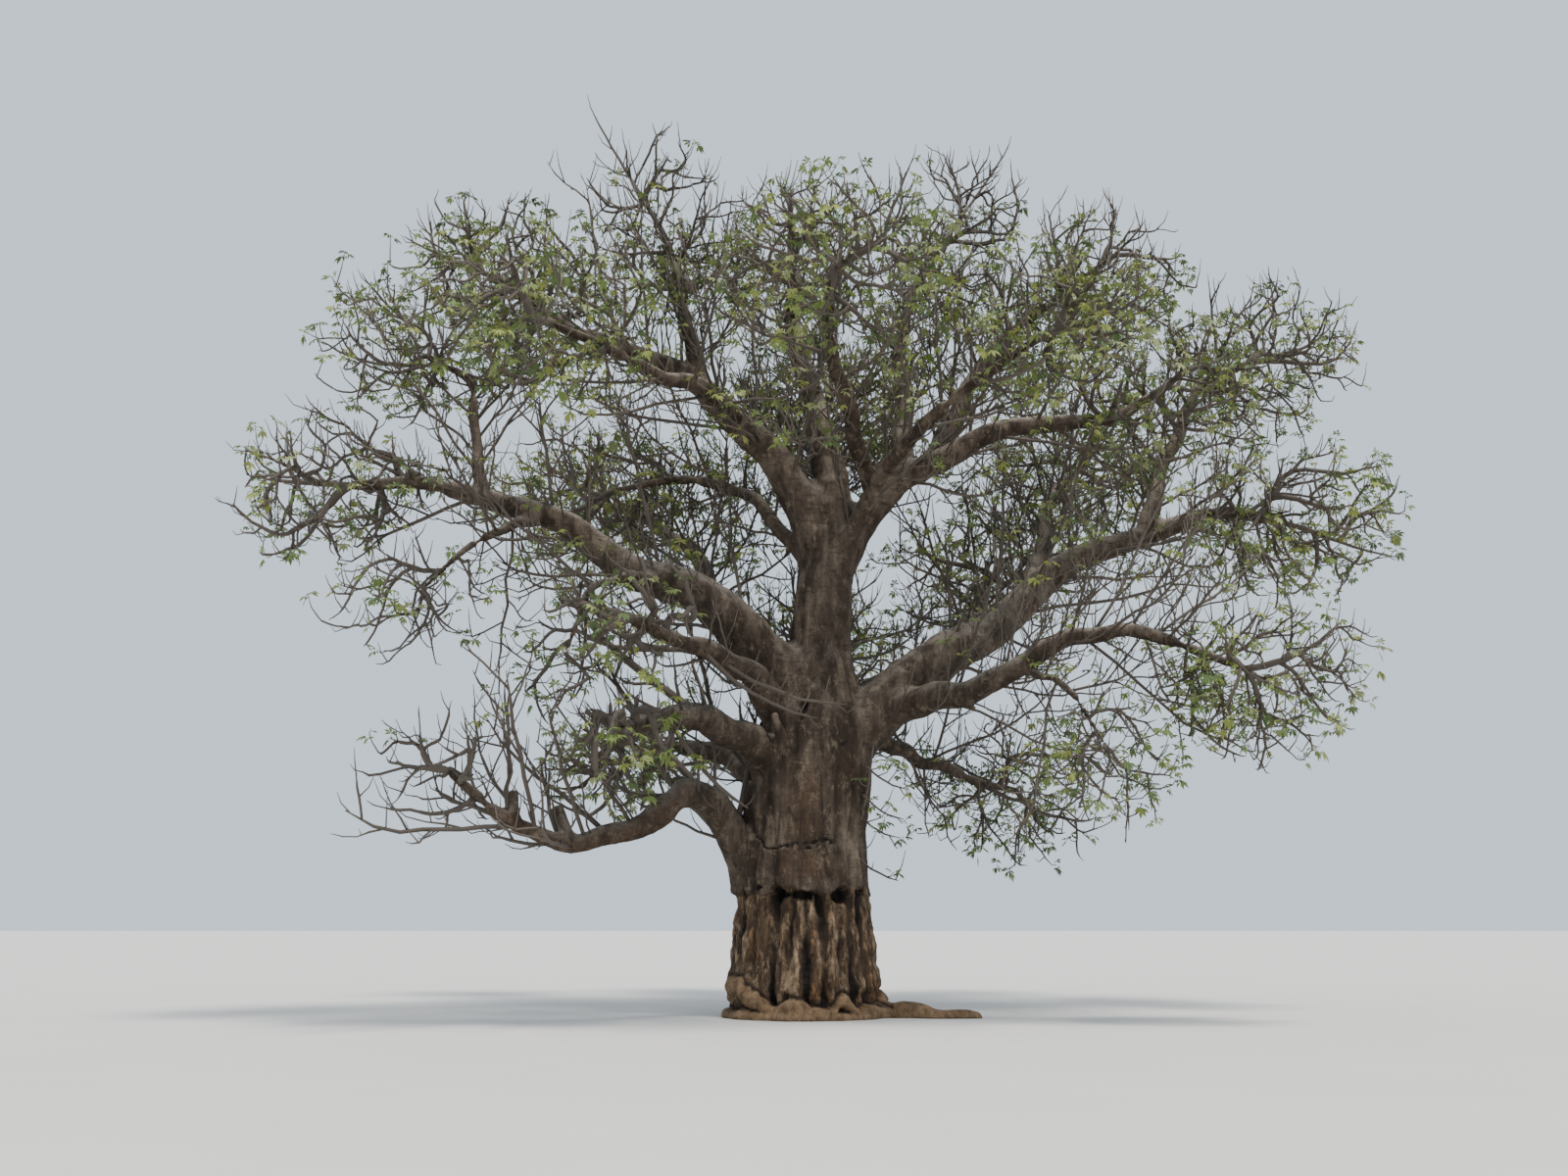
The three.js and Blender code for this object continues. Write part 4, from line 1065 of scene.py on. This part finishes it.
class Fit:
    """Where the skin's vertices lie on the limbs: the nearest limb, the share along it, its axis's place
    and its radius there, and how near and how thick the next limb is."""

    def __init__(self, places, limbs):
        count = len(places)
        self.limb = np.zeros(count, int)
        self.share = np.zeros(count)
        self.centre = np.zeros((count, 3))
        self.gap, self.next_gap = np.full((2, count), np.inf)
        self.radius, self.next_radius = np.ones((2, count))
        for number, limb in enumerate(limbs.values()):
            self.try_limb(number, limb, places)

    def try_limb(self, number, limb, places):
        shares = np.linspace(0, 1, max(FEWEST_STEPS, round(limb.length / FIT_STEP)) + 1)
        line = limb.at(shares)
        margin = float(np.max(limb.radius_at(shares))) + FIT_MARGIN
        near = np.flatnonzero(in_box(places, line.min(0) - margin, line.max(0) + margin))
        share = np.zeros(len(near))
        for part in np.array_split(np.arange(len(near)), max(1, len(near) // 20000)):
            squares = ((places[near[part], None] - line[None]) ** 2).sum(axis=2)
            share[part] = shares[np.argmin(squares, axis=1)]
        for _ in range(2):
            ahead = ((places[near] - limb.at(share)) * limb.towards(share)).sum(axis=1)
            share = np.clip(share + ahead / limb.length, 0, 1)
        centre = limb.at(share)
        radius = limb.radius_at(share)
        gap = np.linalg.norm(places[near] - centre, axis=1) - radius
        first = np.abs(gap) < np.abs(self.gap[near])
        moved = near[first]
        self.next_gap[moved] = self.gap[moved]
        self.next_radius[moved] = self.radius[moved]
        self.limb[moved] = number
        found = {"gap": gap, "radius": radius, "share": share, "centre": centre}
        for name, values in found.items():
            getattr(self, name)[moved] = values[first]
        second = ~first & (gap < self.next_gap[near])
        behind = near[second]
        self.next_gap[behind] = gap[second]
        self.next_radius[behind] = radius[second]


class Surface:
    """The skin's edges, for smoothing what its vertices hold."""

    def __init__(self, faces, count):
        pairs = np.unique(np.sort(sides_of(faces), axis=1), axis=0)
        self.ends = pairs.ravel()
        self.others = pairs[:, ::-1].ravel()
        self.count = count
        self.neighbours = np.maximum(self.summed(np.ones(count)), 1)

    def summed(self, values):
        """What each vertex's neighbours hold together."""
        return np.bincount(self.ends, weights=values[self.others], minlength=self.count)

    def smoothed(self, values, weight, rounds):
        """Values (count, several) after rounds of pulling each towards its neighbours' mean."""
        pull = PULL * weight[:, None]
        for _ in range(rounds):
            sums = np.stack([self.summed(column) for column in values.T], axis=1)
            values = values + pull * (sums / self.neighbours[:, None] - values)
        return values

    def spread(self, chosen):
        """How much of each vertex's surroundings is chosen."""
        return self.smoothed(chosen.astype(float)[:, None], np.ones(self.count), SPREAD_ROUNDS)[:, 0]


def normals_of(places, faces):
    """The vertices' normals, each face with its area's weight."""
    a, b, c = (places[faces[:, k]] for k in range(3))
    sums = []
    for column in np.cross(b - a, c - a).T:
        sums.append(sum(np.bincount(faces[:, k], weights=column, minlength=len(places)) for k in range(3)))
    return unit(np.stack(sums, axis=1))


def from_front(places):
    """The headings of places round the trunk in degrees: 0 at the front, growing to the right."""
    lean = trunk_point(places[:, 2] / TRUNK_HEIGHT)[:, 0]
    return np.degrees(np.arctan2(places[:, 0] - lean, -places[:, 1])) % 360


def near_heading(angle, centre):
    return np.abs((angle - centre + 180) % 360 - 180)


def bell(values):
    return np.exp(-(values**2))


def eased(values, knots, levels):
    """Levels between knots, flat at each knot."""
    step = np.clip(np.searchsorted(knots, values) - 1, 0, len(knots) - 2)
    knots, levels = np.array(knots, float), np.array(levels, float)
    share = smooth_step(knots[step], knots[step + 1], values)
    return levels[step] + (levels[step + 1] - levels[step]) * share


def ring_of_roots(angle, height):
    """How far out the roots round the foot reach, or nothing above and below them."""
    turn = np.radians(angle)
    round_foot = np.stack([np.cos(turn), np.sin(turn), np.zeros(len(turn))], axis=1)
    wander = noise_at(round_foot, 0.35, 2)
    swelling = noise_at(round_foot + 5, 0.22, 2)
    reach = np.zeros(len(angle))
    for thickness, out, headings, heights in RING_ROOTS:
        turned = (angle - headings[0] + 6 * wander) % 360 + headings[0]
        ends = within(headings[0], headings[-1], RING_FADE, turned)
        thick = thickness * (1 + 0.35 * swelling) * np.maximum(ends, 0.05)
        middle = eased(turned, headings, heights) + 0.04 * wander
        off = (height - middle) / thick
        own = out - 0.07 * np.sin(turn) ** 2 + 0.05 * wander + thick * np.sqrt(np.maximum(1 - off**2, 0))
        reach = np.maximum(reach, np.where((np.abs(off) < 1) & (ends > 0), own, 0))
    return reach


class Relief:
    """What is added to the trunk's surface: metres outwards, and the marks of its colours."""

    def __init__(self, places):
        self.angle = from_front(places)
        self.height = places[:, 2]
        self.girth = trunk_radius(self.height / TRUNK_HEIGHT)
        self.noise = {
            name: noise_at(places * (1, 1, stretch) + shift, scale, octaves)
            for name, (stretch, shift, scale, octaves) in RELIEF_NOISES.items()
        }
        self.shift = np.zeros(len(places))
        self.marks = {name: np.zeros(len(places)) for name in MARKS}
        self.add_folds()
        self.add_foot()
        self.add_hollows()
        self.add_scar()
        self.add_patches()

    def mark(self, name, values):
        self.marks[name] = np.maximum(self.marks[name], values)

    def stirred(self, values, **weights):
        """Values with shares of the noises added."""
        for name, weight in weights.items():
            values = values + weight * self.noise[name]
        return values

    def away_from(self, centre, level, half, tall):
        """How far places are from one on the trunk: 1 at half its width and at half its height."""
        return np.hypot(near_heading(self.angle, centre) / half, (self.height - level) / tall)

    def add_folds(self):
        """Folds that run down the trunk, and the swellings under its boughs."""
        push, crease_shade = 0, 0
        for name, depth, width, shade in FOLDS:
            fold = np.abs(self.noise[name])
            push = push + depth * (fold - FOLD_MEAN)
            crease_shade = crease_shade + shade * bell(fold / width)
        full, least = FOLDED_GIRTH
        self.shift += push * np.clip(self.girth / full, least, 1)
        # The folds' creases get painted shade.
        self.mark("hollow", crease_shade)
        # Painted shade of the crown over the trunk, in patches, below the given heights.
        stain = np.clip(self.stirred(0.75, stain=0.5), 0, 1)
        self.mark("stained", smooth_step(*CROWN_SHADE_HEIGHTS, self.height) * stain)
        swelling = np.zeros(len(crease_shade))
        foot, full, shrinking, top = SHOULDER_REACH
        for parent, share, _, leaves, _, _, girths in LIMBS.values():
            if parent == "trunk" and share > 0:
                level = share * TRUNK_HEIGHT
                half = math.degrees(girths[0] * SHOULDER_WIDTH / float(trunk_radius(share)))
                near = bell(near_heading(self.angle, leaves[0] + 90) / half)
                below = smooth_step(level + foot, level + full, self.height)
                below = below * smooth_step(level + top, level + shrinking, self.height)
                swelling = np.maximum(swelling, SHOULDER * girths[0] * near * below)
        self.shift += swelling

    def add_foot(self):
        """The stripped columns of the foot under the rim, and the ring of roots round them."""
        height, own = self.height, self.girth
        edge = self.stirred(height, wander=0.15, jitter=0.07, fine=0.03)
        stripped = smooth_step(RIM_HEIGHT + RIM_HALF, RIM_HEIGHT - RIM_HALF, edge)
        shift = np.where(stripped > 0, (1 - stripped) * self.shift, self.shift)
        shift -= np.maximum(own - FOOT_RADIUS, 0) * smooth_step(*FOOT_HEIGHTS, height)
        shift -= RIM_DEPTH * stripped
        shift += self.stirred(0, lumps=0.07, scales=0.026) * stripped
        bend = self.stirred(0, wander=4.5, jitter=1.5)
        for number, (centre, depth, half) in enumerate(FURROWS):
            cut = bell(near_heading(self.angle + bend, centre) / half) * stripped
            cut *= 0.75 + 0.35 * np.sin(height * 3.1 + number * 2.4)
            shift -= FURROW_DEPTH * depth * cut
            # The furrows get painted shade, the deeper the darker.
            self.mark("hollow", cut * min(depth / 0.09, 1))
        ring = ring_of_roots(self.angle, height)
        is_ring = smooth_step(-0.02, 0.02, ring - (own + shift))
        top = ring_of_roots(self.angle, height - 0.06)
        # Painted shade in the groove just above the roots.
        self.mark("hollow", 0.55 * (1 - is_ring) * (top > 0))
        self.shift = np.maximum(shift, self.stirred(ring, jitter=0.025, fine=0.02) - own)
        self.mark("stripped", stripped)
        self.mark("root", is_ring)
        self.marks["hollow"] *= 1 - is_ring

    def add_hollows(self):
        for *place, depth in HOLLOWS:
            away = self.stirred(self.away_from(*place), wander=0.5, jitter=0.5, fine=0.3)
            cut = smooth_step(1.15, 0.55, away)
            self.shift -= depth * cut
            # The hollows get painted shade.
            self.mark("hollow", cut)

    def add_scar(self):
        """A thin broken crack across the front with a torn lip."""
        headings = SCAR["headings"]
        turned = (self.angle + 180) % 360 - 180
        level = self.stirred(np.interp(turned, headings, SCAR["heights"]), jitter=0.05, fine=0.03)
        on = within(headings[0], headings[-1], SCAR_FADE, turned)
        on = on * smooth_step(-0.5, -0.1, self.stirred(self.noise["fine"], wander=0.6))
        cut = bell((self.height - level) / SCAR["half"]) * on
        lip = bell((self.height - level + 0.05) / 0.04) * on
        self.shift += 0.02 * lip - SCAR["depth"] * cut
        # The crack gets painted shade.
        self.mark("hollow", cut)
        self.mark("pale", 0.45 * lip * smooth_step(-0.2, 0.3, self.noise["fine"]))

    def add_patches(self):
        for name, *place in PATCHES:
            away = self.stirred(self.away_from(*place), wander=0.6, jitter=0.5)
            self.mark(name, smooth_step(1.5, 0.25, away))


def closed_part(places, faces):
    """A part of the skin, closed: its own vertices' numbers, and its faces with a fan over every hole."""
    used = np.unique(faces)
    renumbered = np.full(len(places), -1)
    renumbered[used] = np.arange(len(used))
    faces = renumbered[faces]
    halves = sides_of(faces).tolist()
    matched = {(b, a) for a, b in halves}
    ahead = {}
    for a, b in halves:
        if (a, b) not in matched:
            ahead.setdefault(a, []).append(b)
    centres, fans = [], []
    while ahead:
        loop = [next(iter(ahead))]
        while loop[-1] in ahead:
            following = ahead[loop[-1]].pop()
            if not ahead[loop[-1]]:
                del ahead[loop[-1]]
            loop.append(following)
        hub = len(used) + len(centres)
        centres.append(places[used[loop[:-1]]].mean(axis=0))
        fans += [(b, a, hub) for a, b in zip(loop[:-1], loop[1:])]
    faces = np.concatenate([faces, np.array(fans)]) if fans else faces
    return used, np.concatenate([places[used], np.array(centres).reshape(-1, 3)]), faces


def settled(places, fit, surface, on_ground):
    """The skin's places moved onto the limbs, with the crotches between them rounded."""
    fitted = fit.centre + unit(places - fit.centre) * fit.radius[:, None]
    reach = CROTCH + BLEND * np.minimum(fit.radius, fit.next_radius)
    crotch = smooth_step(reach, reach * 0.2, np.where(np.isinf(fit.next_gap), 9, fit.next_gap))
    is_end = (fit.share < ENDS[0]) | (fit.share > ENDS[1])
    free = (1 - np.maximum(crotch, is_end)) * (np.abs(fit.gap) < VOXEL * LOOSE)
    places = places + (fitted - places) * free[:, None]
    return surface.smoothed(places, np.maximum(crotch, EVENING) * ~on_ground, ROUNDING)


def bark_marks(places, relief, near_trunk, trunkness, names, share):
    """What the whole skin is marked with for its colours."""
    marks = {}
    for mark, values in relief.marks.items():
        marks[mark] = np.zeros(len(places))
        marks[mark][near_trunk] = values * trunkness[near_trunk]
    marks["root"] = np.maximum(marks["root"], names == "root_right")
    # Painted shade of the crown on the boughs near the trunk.
    stain, distances, heights = CROWN_SHADE_BOUGHS
    x, y, z = places.T
    near = smooth_step(*distances, np.hypot(x, y)) * smooth_step(*heights, z)
    marks["stained"] = np.maximum(marks["stained"], stain * near * (1 - trunkness) * (marks["root"] < 1))
    warm_bough, warmth = WARM_BOUGH
    marks["warm"] = np.maximum(marks["warm"], warmth * (names == warm_bough))
    is_stub = np.char.startswith(names, "stub")
    marks["pale"] = np.maximum(marks["pale"], is_stub * smooth_step(0.5, 0.95, share))
    return marks


def bark_pieces(limbs, look):
    """The skin with its relief as two closed pieces: the trunk with its root, and the boughs."""
    places, faces = union_skin(limbs)
    surface = Surface(faces, len(places))
    on_ground = places[:, 2] < 1e-3
    fit = Fit(places, limbs)
    places = settled(places, fit, surface, on_ground)

    names = np.array(list(limbs))[fit.limb]
    trunkness = surface.spread(names == "trunk")
    near_trunk = np.flatnonzero(trunkness > 0.01)
    relief = Relief(places[near_trunk])
    marks = bark_marks(places, relief, near_trunk, trunkness, names, fit.share)
    shift = np.zeros(len(places))
    shift[near_trunk] = relief.shift * trunkness[near_trunk]
    push = 0
    for stretch, scale, depth in BARK_RELIEF:
        push = push + depth * noise_at(places * (1, 1, stretch), scale, 3)
    full, least = FULL_RELIEF
    shift += (1 - TRUNK_SHARE * trunkness) * push * np.clip(fit.radius / full, least, 1)
    out = places - fit.centre
    outwards = unit(unit(out) * (1 - trunkness[:, None]) + unit(out * (1, 1, 0)) * trunkness[:, None])
    places = places + outwards * shift[:, None]
    places[:, 2] = np.where(on_ground, 0, np.maximum(places[:, 2], 0))

    normals = normals_of(places, faces)
    in_trunk = surface.spread(np.isin(names, ("trunk", "root_right")))[faces].mean(axis=1) > 0.5
    made = []
    for name, chosen in (("bark_trunk", in_trunk), ("bark_boughs", ~in_trunk)):
        used, corners, part = closed_part(places, faces[chosen])
        builder = Builder()
        builder.add(corners, part)
        piece = builder.piece(name, [look], True)
        hubs = len(corners) - len(used)
        for mark, values in marks.items():
            layer = piece.data.attributes.new(mark, "FLOAT", "POINT")
            layer.data.foreach_set("value", np.append(values[used], np.zeros(hubs)).astype(np.float32))
        own = np.concatenate([normals[used], np.tile(UP, (hubs, 1))])
        piece.data.normals_split_custom_set_from_vertices(own)
        made.append(piece)
    return made


# Materials.


class Nodes:
    """Makes a material's nodes."""

    def __init__(self, name):
        self.material = bpy.data.materials.new(name)
        self.material.use_nodes = True
        self.tree = self.material.node_tree
        self.shader = self.tree.nodes["Principled BSDF"]

    def add(self, kind, inputs, **settings):
        made = self.tree.nodes.new(kind)
        for key, value in settings.items():
            setattr(made, key, value)
        for key, value in inputs.items():
            self.set(made.inputs[key], value)
        return made

    def set(self, socket, value):
        if isinstance(value, bpy.types.NodeSocket):
            self.tree.links.new(value, socket)
        else:
            socket.default_value = (*value, 1) if socket.type == "RGBA" else value

    def noise(self, scale, stretch=1, detail=4.0, roughness=0.55):
        place = self.add("ShaderNodeTexCoord", {}).outputs["Object"]
        mapped = self.add("ShaderNodeMapping", {"Vector": place, "Scale": (1, 1, stretch)}).outputs[0]
        inputs = {"Vector": mapped, "Scale": scale, "Detail": detail, "Roughness": roughness}
        return self.add("ShaderNodeTexNoise", inputs).outputs["Fac"]

    def between(self, value, low, high, to_low=0.0, to_high=1.0):
        inputs = {"Value": value, "From Min": low, "From Max": high, "To Min": to_low, "To Max": to_high}
        return self.add("ShaderNodeMapRange", inputs).outputs[0]

    def maths(self, operation, first, second):
        return self.add("ShaderNodeMath", {0: first, 1: second}, operation=operation).outputs[0]

    def mix(self, factor, first, second):
        made = self.add("ShaderNodeMix", {"Factor": factor, "A": first, "B": second}, data_type="RGBA")
        return made.outputs["Result"]

    def layered(self, sources, colour, layers):
        """A colour with layers over it."""
        for over, *parts in layers:
            amount = None
            for name, *ends in parts:
                part = self.between(sources[name], *ends) if ends else sources[name]
                amount = self.maths("MULTIPLY", amount, part) if amount else part
            colour = self.mix(amount, colour, over)
        return colour

    def finish(self, colour, roughness):
        self.set(self.shader.inputs["Base Color"], colour)
        self.set(self.shader.inputs["Roughness"], roughness)
        return self.material


def bark_material():
    nodes = Nodes("bark")
    sources = {name: nodes.noise(*settings) for name, settings in BARK_NOISES.items()}
    for name in MARKS:
        sources[name] = nodes.add("ShaderNodeAttribute", {}, attribute_name=name).outputs["Fac"]
    normal = nodes.add("ShaderNodeNewGeometry", {}).outputs["Normal"]
    # How far the bark faces up, which the painted highlight on top and the painted shade underneath follow.
    sources["up"] = nodes.add("ShaderNodeSeparateXYZ", {"Vector": normal}).outputs["Z"]
    colour = nodes.layered(sources, BARK, BARK_LAYERS)
    wood = nodes.layered(sources, WOOD, WOOD_LAYERS)
    root = nodes.layered(sources, ROOT, ROOT_LAYERS)
    colour = nodes.layered(sources, colour, ((wood, ("stripped",)), (root, ("root",)), *LAST_LAYERS))
    height = 0.0
    for name, weight in BARK_BUMPS.items():
        height = nodes.maths("ADD", height, nodes.maths("MULTIPLY", sources[name], weight))
    bump = nodes.add("ShaderNodeBump", {"Height": height, **BUMP})
    nodes.set(nodes.shader.inputs["Normal"], bump.outputs["Normal"])
    nodes.set(nodes.shader.inputs["Specular IOR Level"], BARK_SHINE)
    return nodes.finish(colour, nodes.between(sources["grain"], *BARK_ROUGHNESS))


def plain_materials(looks):
    return [Nodes(name).finish(colour, roughness) for name, colour, roughness in looks]


# The whole tree.


def grow_masses(limbs):
    stems = [build_stem(mass, limbs[mass[0]]) for mass in MASSES.values()]
    obstacles = Obstacles(limbs, stems)
    masses = {}
    for index, name in enumerate(MASSES):
        masses[name] = Mass(index, name, stems[index], obstacles)
        masses[name].grow_all()
    for number, (name, limb) in enumerate(limbs.items()):
        if name not in ("trunk", "root_right"):
            nearest = int(np.argmin(np.linalg.norm(MIDDLES - limb.at(1), axis=1)))
            list(masses.values())[nearest].dress_bough(number, name, limb)
    for name, start, end, leafiness in SINGLE_TWIGS:
        mass = masses[name]
        path = twig_path(np.array(start), -UP, np.array(end), BRANCHES, SINGLE_BEND, mass.rng)
        mass.keep(path, (mass.BOUGH, 0), BRANCHES, leafiness, True)
    return list(masses.values())


def add_tubes(builder, paths, radii, sides):
    """Adds tubes of several lengths, those of the same number of points together."""
    groups = {}
    for path, radius, side in zip(paths, radii, sides):
        groups.setdefault((len(path), side), []).append((path, radius))
    for (_, side), rows in groups.items():
        group_paths, group_radii = (np.array(column) for column in zip(*rows))
        builder.add(*tubes(group_paths, group_radii, side))


def season(mass, leafiness, places):
    """How likely leaves are at places, which are bare towards the top and leafy in tufts."""
    height = places[:, 2]
    up = (height - MIDDLES[mass.index][2]) / HALVES[mass.index][2]
    leafiness = leafiness * (1.1 - BARE_TOP * smooth_step(*TOP_BAND, up))
    leafiness = leafiness * (1 - BARE_CROWN * smooth_step(*BARE_ABOVE, height))
    least, more = TUFTS
    return leafiness * (least + more * smooth_step(-0.25, 0.3, noise_at(places, TUFT, 2)))


def dress_mass(mass, twigs, leaves, thick_at_foot):
    """Adds one mass's twigs, shoots and leaves to its region's pieces."""
    paths, numbers, shares = mass.shoots()
    loads, total = loads_of(mass, numbers, shares)
    spare = thick_at_foot - END_RADIUS
    radii = []
    for load, free in zip(loads, mass.free):
        share = (FREE_GIRTH if free else 1) * (np.maximum(load - 1, 0) / total) ** GIRTH_POWER
        radii.append(END_RADIUS + spare * share)
    if mass.name in LEADS:
        radii[0] = np.maximum(radii[0], np.linspace(*LEAD_RADII, len(radii[0])))
    for radius in radii:
        radius[-1] *= POINTED
    add_tubes(twigs, mass.paths, radii, mass.sides)
    thin = END_RADIUS * np.array(SHOOT_GIRTHS)
    twigs.add(*tubes(paths, np.broadcast_to(thin, paths.shape[:2]), 3), look=1)
    last = np.concatenate([paths[:, -2:], [path[-2:] for path in mass.paths]])
    leafiness = np.array(mass.leafiness)
    leafiness = season(mass, np.concatenate([leafiness[numbers], leafiness]), last[:, 1])
    leafy = mass.rng.random(len(last)) < leafiness
    add_leaves(leaves, last[leafy, 1], last[leafy, 1] - last[leafy, 0], mass.rng)


def add_piece(piece, nodes):
    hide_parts(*nodes)
    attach(piece, "root")


def build_tree():
    limbs = build_limbs()
    masses = grow_masses(limbs)
    stems = {f"stem_{mass.name}": mass.stem for mass in masses}
    trunk, boughs = bark_pieces({**limbs, **stems, **build_stubs(limbs)}, bark_material())
    add_piece(trunk, ["trunk", "root_right"])
    add_piece(boughs, [f"bough_{name}" for name in LIMBS if name != "root_right"])
    twig_looks, leaf_looks = plain_materials(TWIG_LOOKS), plain_materials(LEAF_LOOKS)
    for region, starts in REGIONS.items():
        inside = [mass for mass in masses if mass.name.startswith(starts)]
        twigs, leaves = Builder(), Builder()
        for mass in inside:
            thick = float(limbs[MASSES[mass.name][0]].radius_at(1)) * STEM_GIRTH
            dress_mass(mass, twigs, leaves, thick)
        nodes = [f"foliage_{mass.name}" for mass in inside]
        add_piece(twigs.piece(f"twigs_{region}", twig_looks, True), nodes)
        add_piece(leaves.piece(f"leaves_{region}", leaf_looks, False), nodes)


def build_stage():
    mesh = bpy.data.meshes.new("floor")
    corners = [(x * FLOOR_REACH, y * FLOOR_REACH, 0) for x, y in ((-1, -1), (1, -1), (1, 1), (-1, 1))]
    mesh.from_pydata(corners, [], [(0, 1, 2, 3)])
    nodes = Nodes("floor")
    colour = nodes.mix(nodes.noise(FLOOR_SPOTS), *FLOOR_COLOURS)
    mesh.materials.append(nodes.finish(colour, FLOOR_ROUGHNESS))
    floor = add_object("floor", mesh)
    floor.location.z = -FLOOR_DROP

    world = bpy.data.worlds.new("studio")
    world.use_nodes = True
    for name, value in SKY.items():
        world.node_tree.nodes["Background"].inputs[name].default_value = value
    bpy.context.scene.world = world

    lamp = bpy.data.lights.new("overhead", "SUN")
    lamp.energy = SUN_STRENGTH
    lamp.color = SUN_COLOUR
    lamp.angle = math.radians(SUN_WIDTH)
    add_object("overhead", lamp).rotation_euler = (*np.radians(SUN_TILT), 0)

    lens = bpy.data.cameras.new("camera")
    lens.lens = LENS
    lens.sensor_width = SENSOR_WIDTH
    lens.clip_end = VIEW_END
    camera = add_object("camera", lens)
    camera.location = CAMERA_PLACE
    camera.rotation_euler = (math.radians(90 + CAMERA_PITCH), 0, 0)
    bpy.context.scene.camera = camera


build_stage()
build_tree()
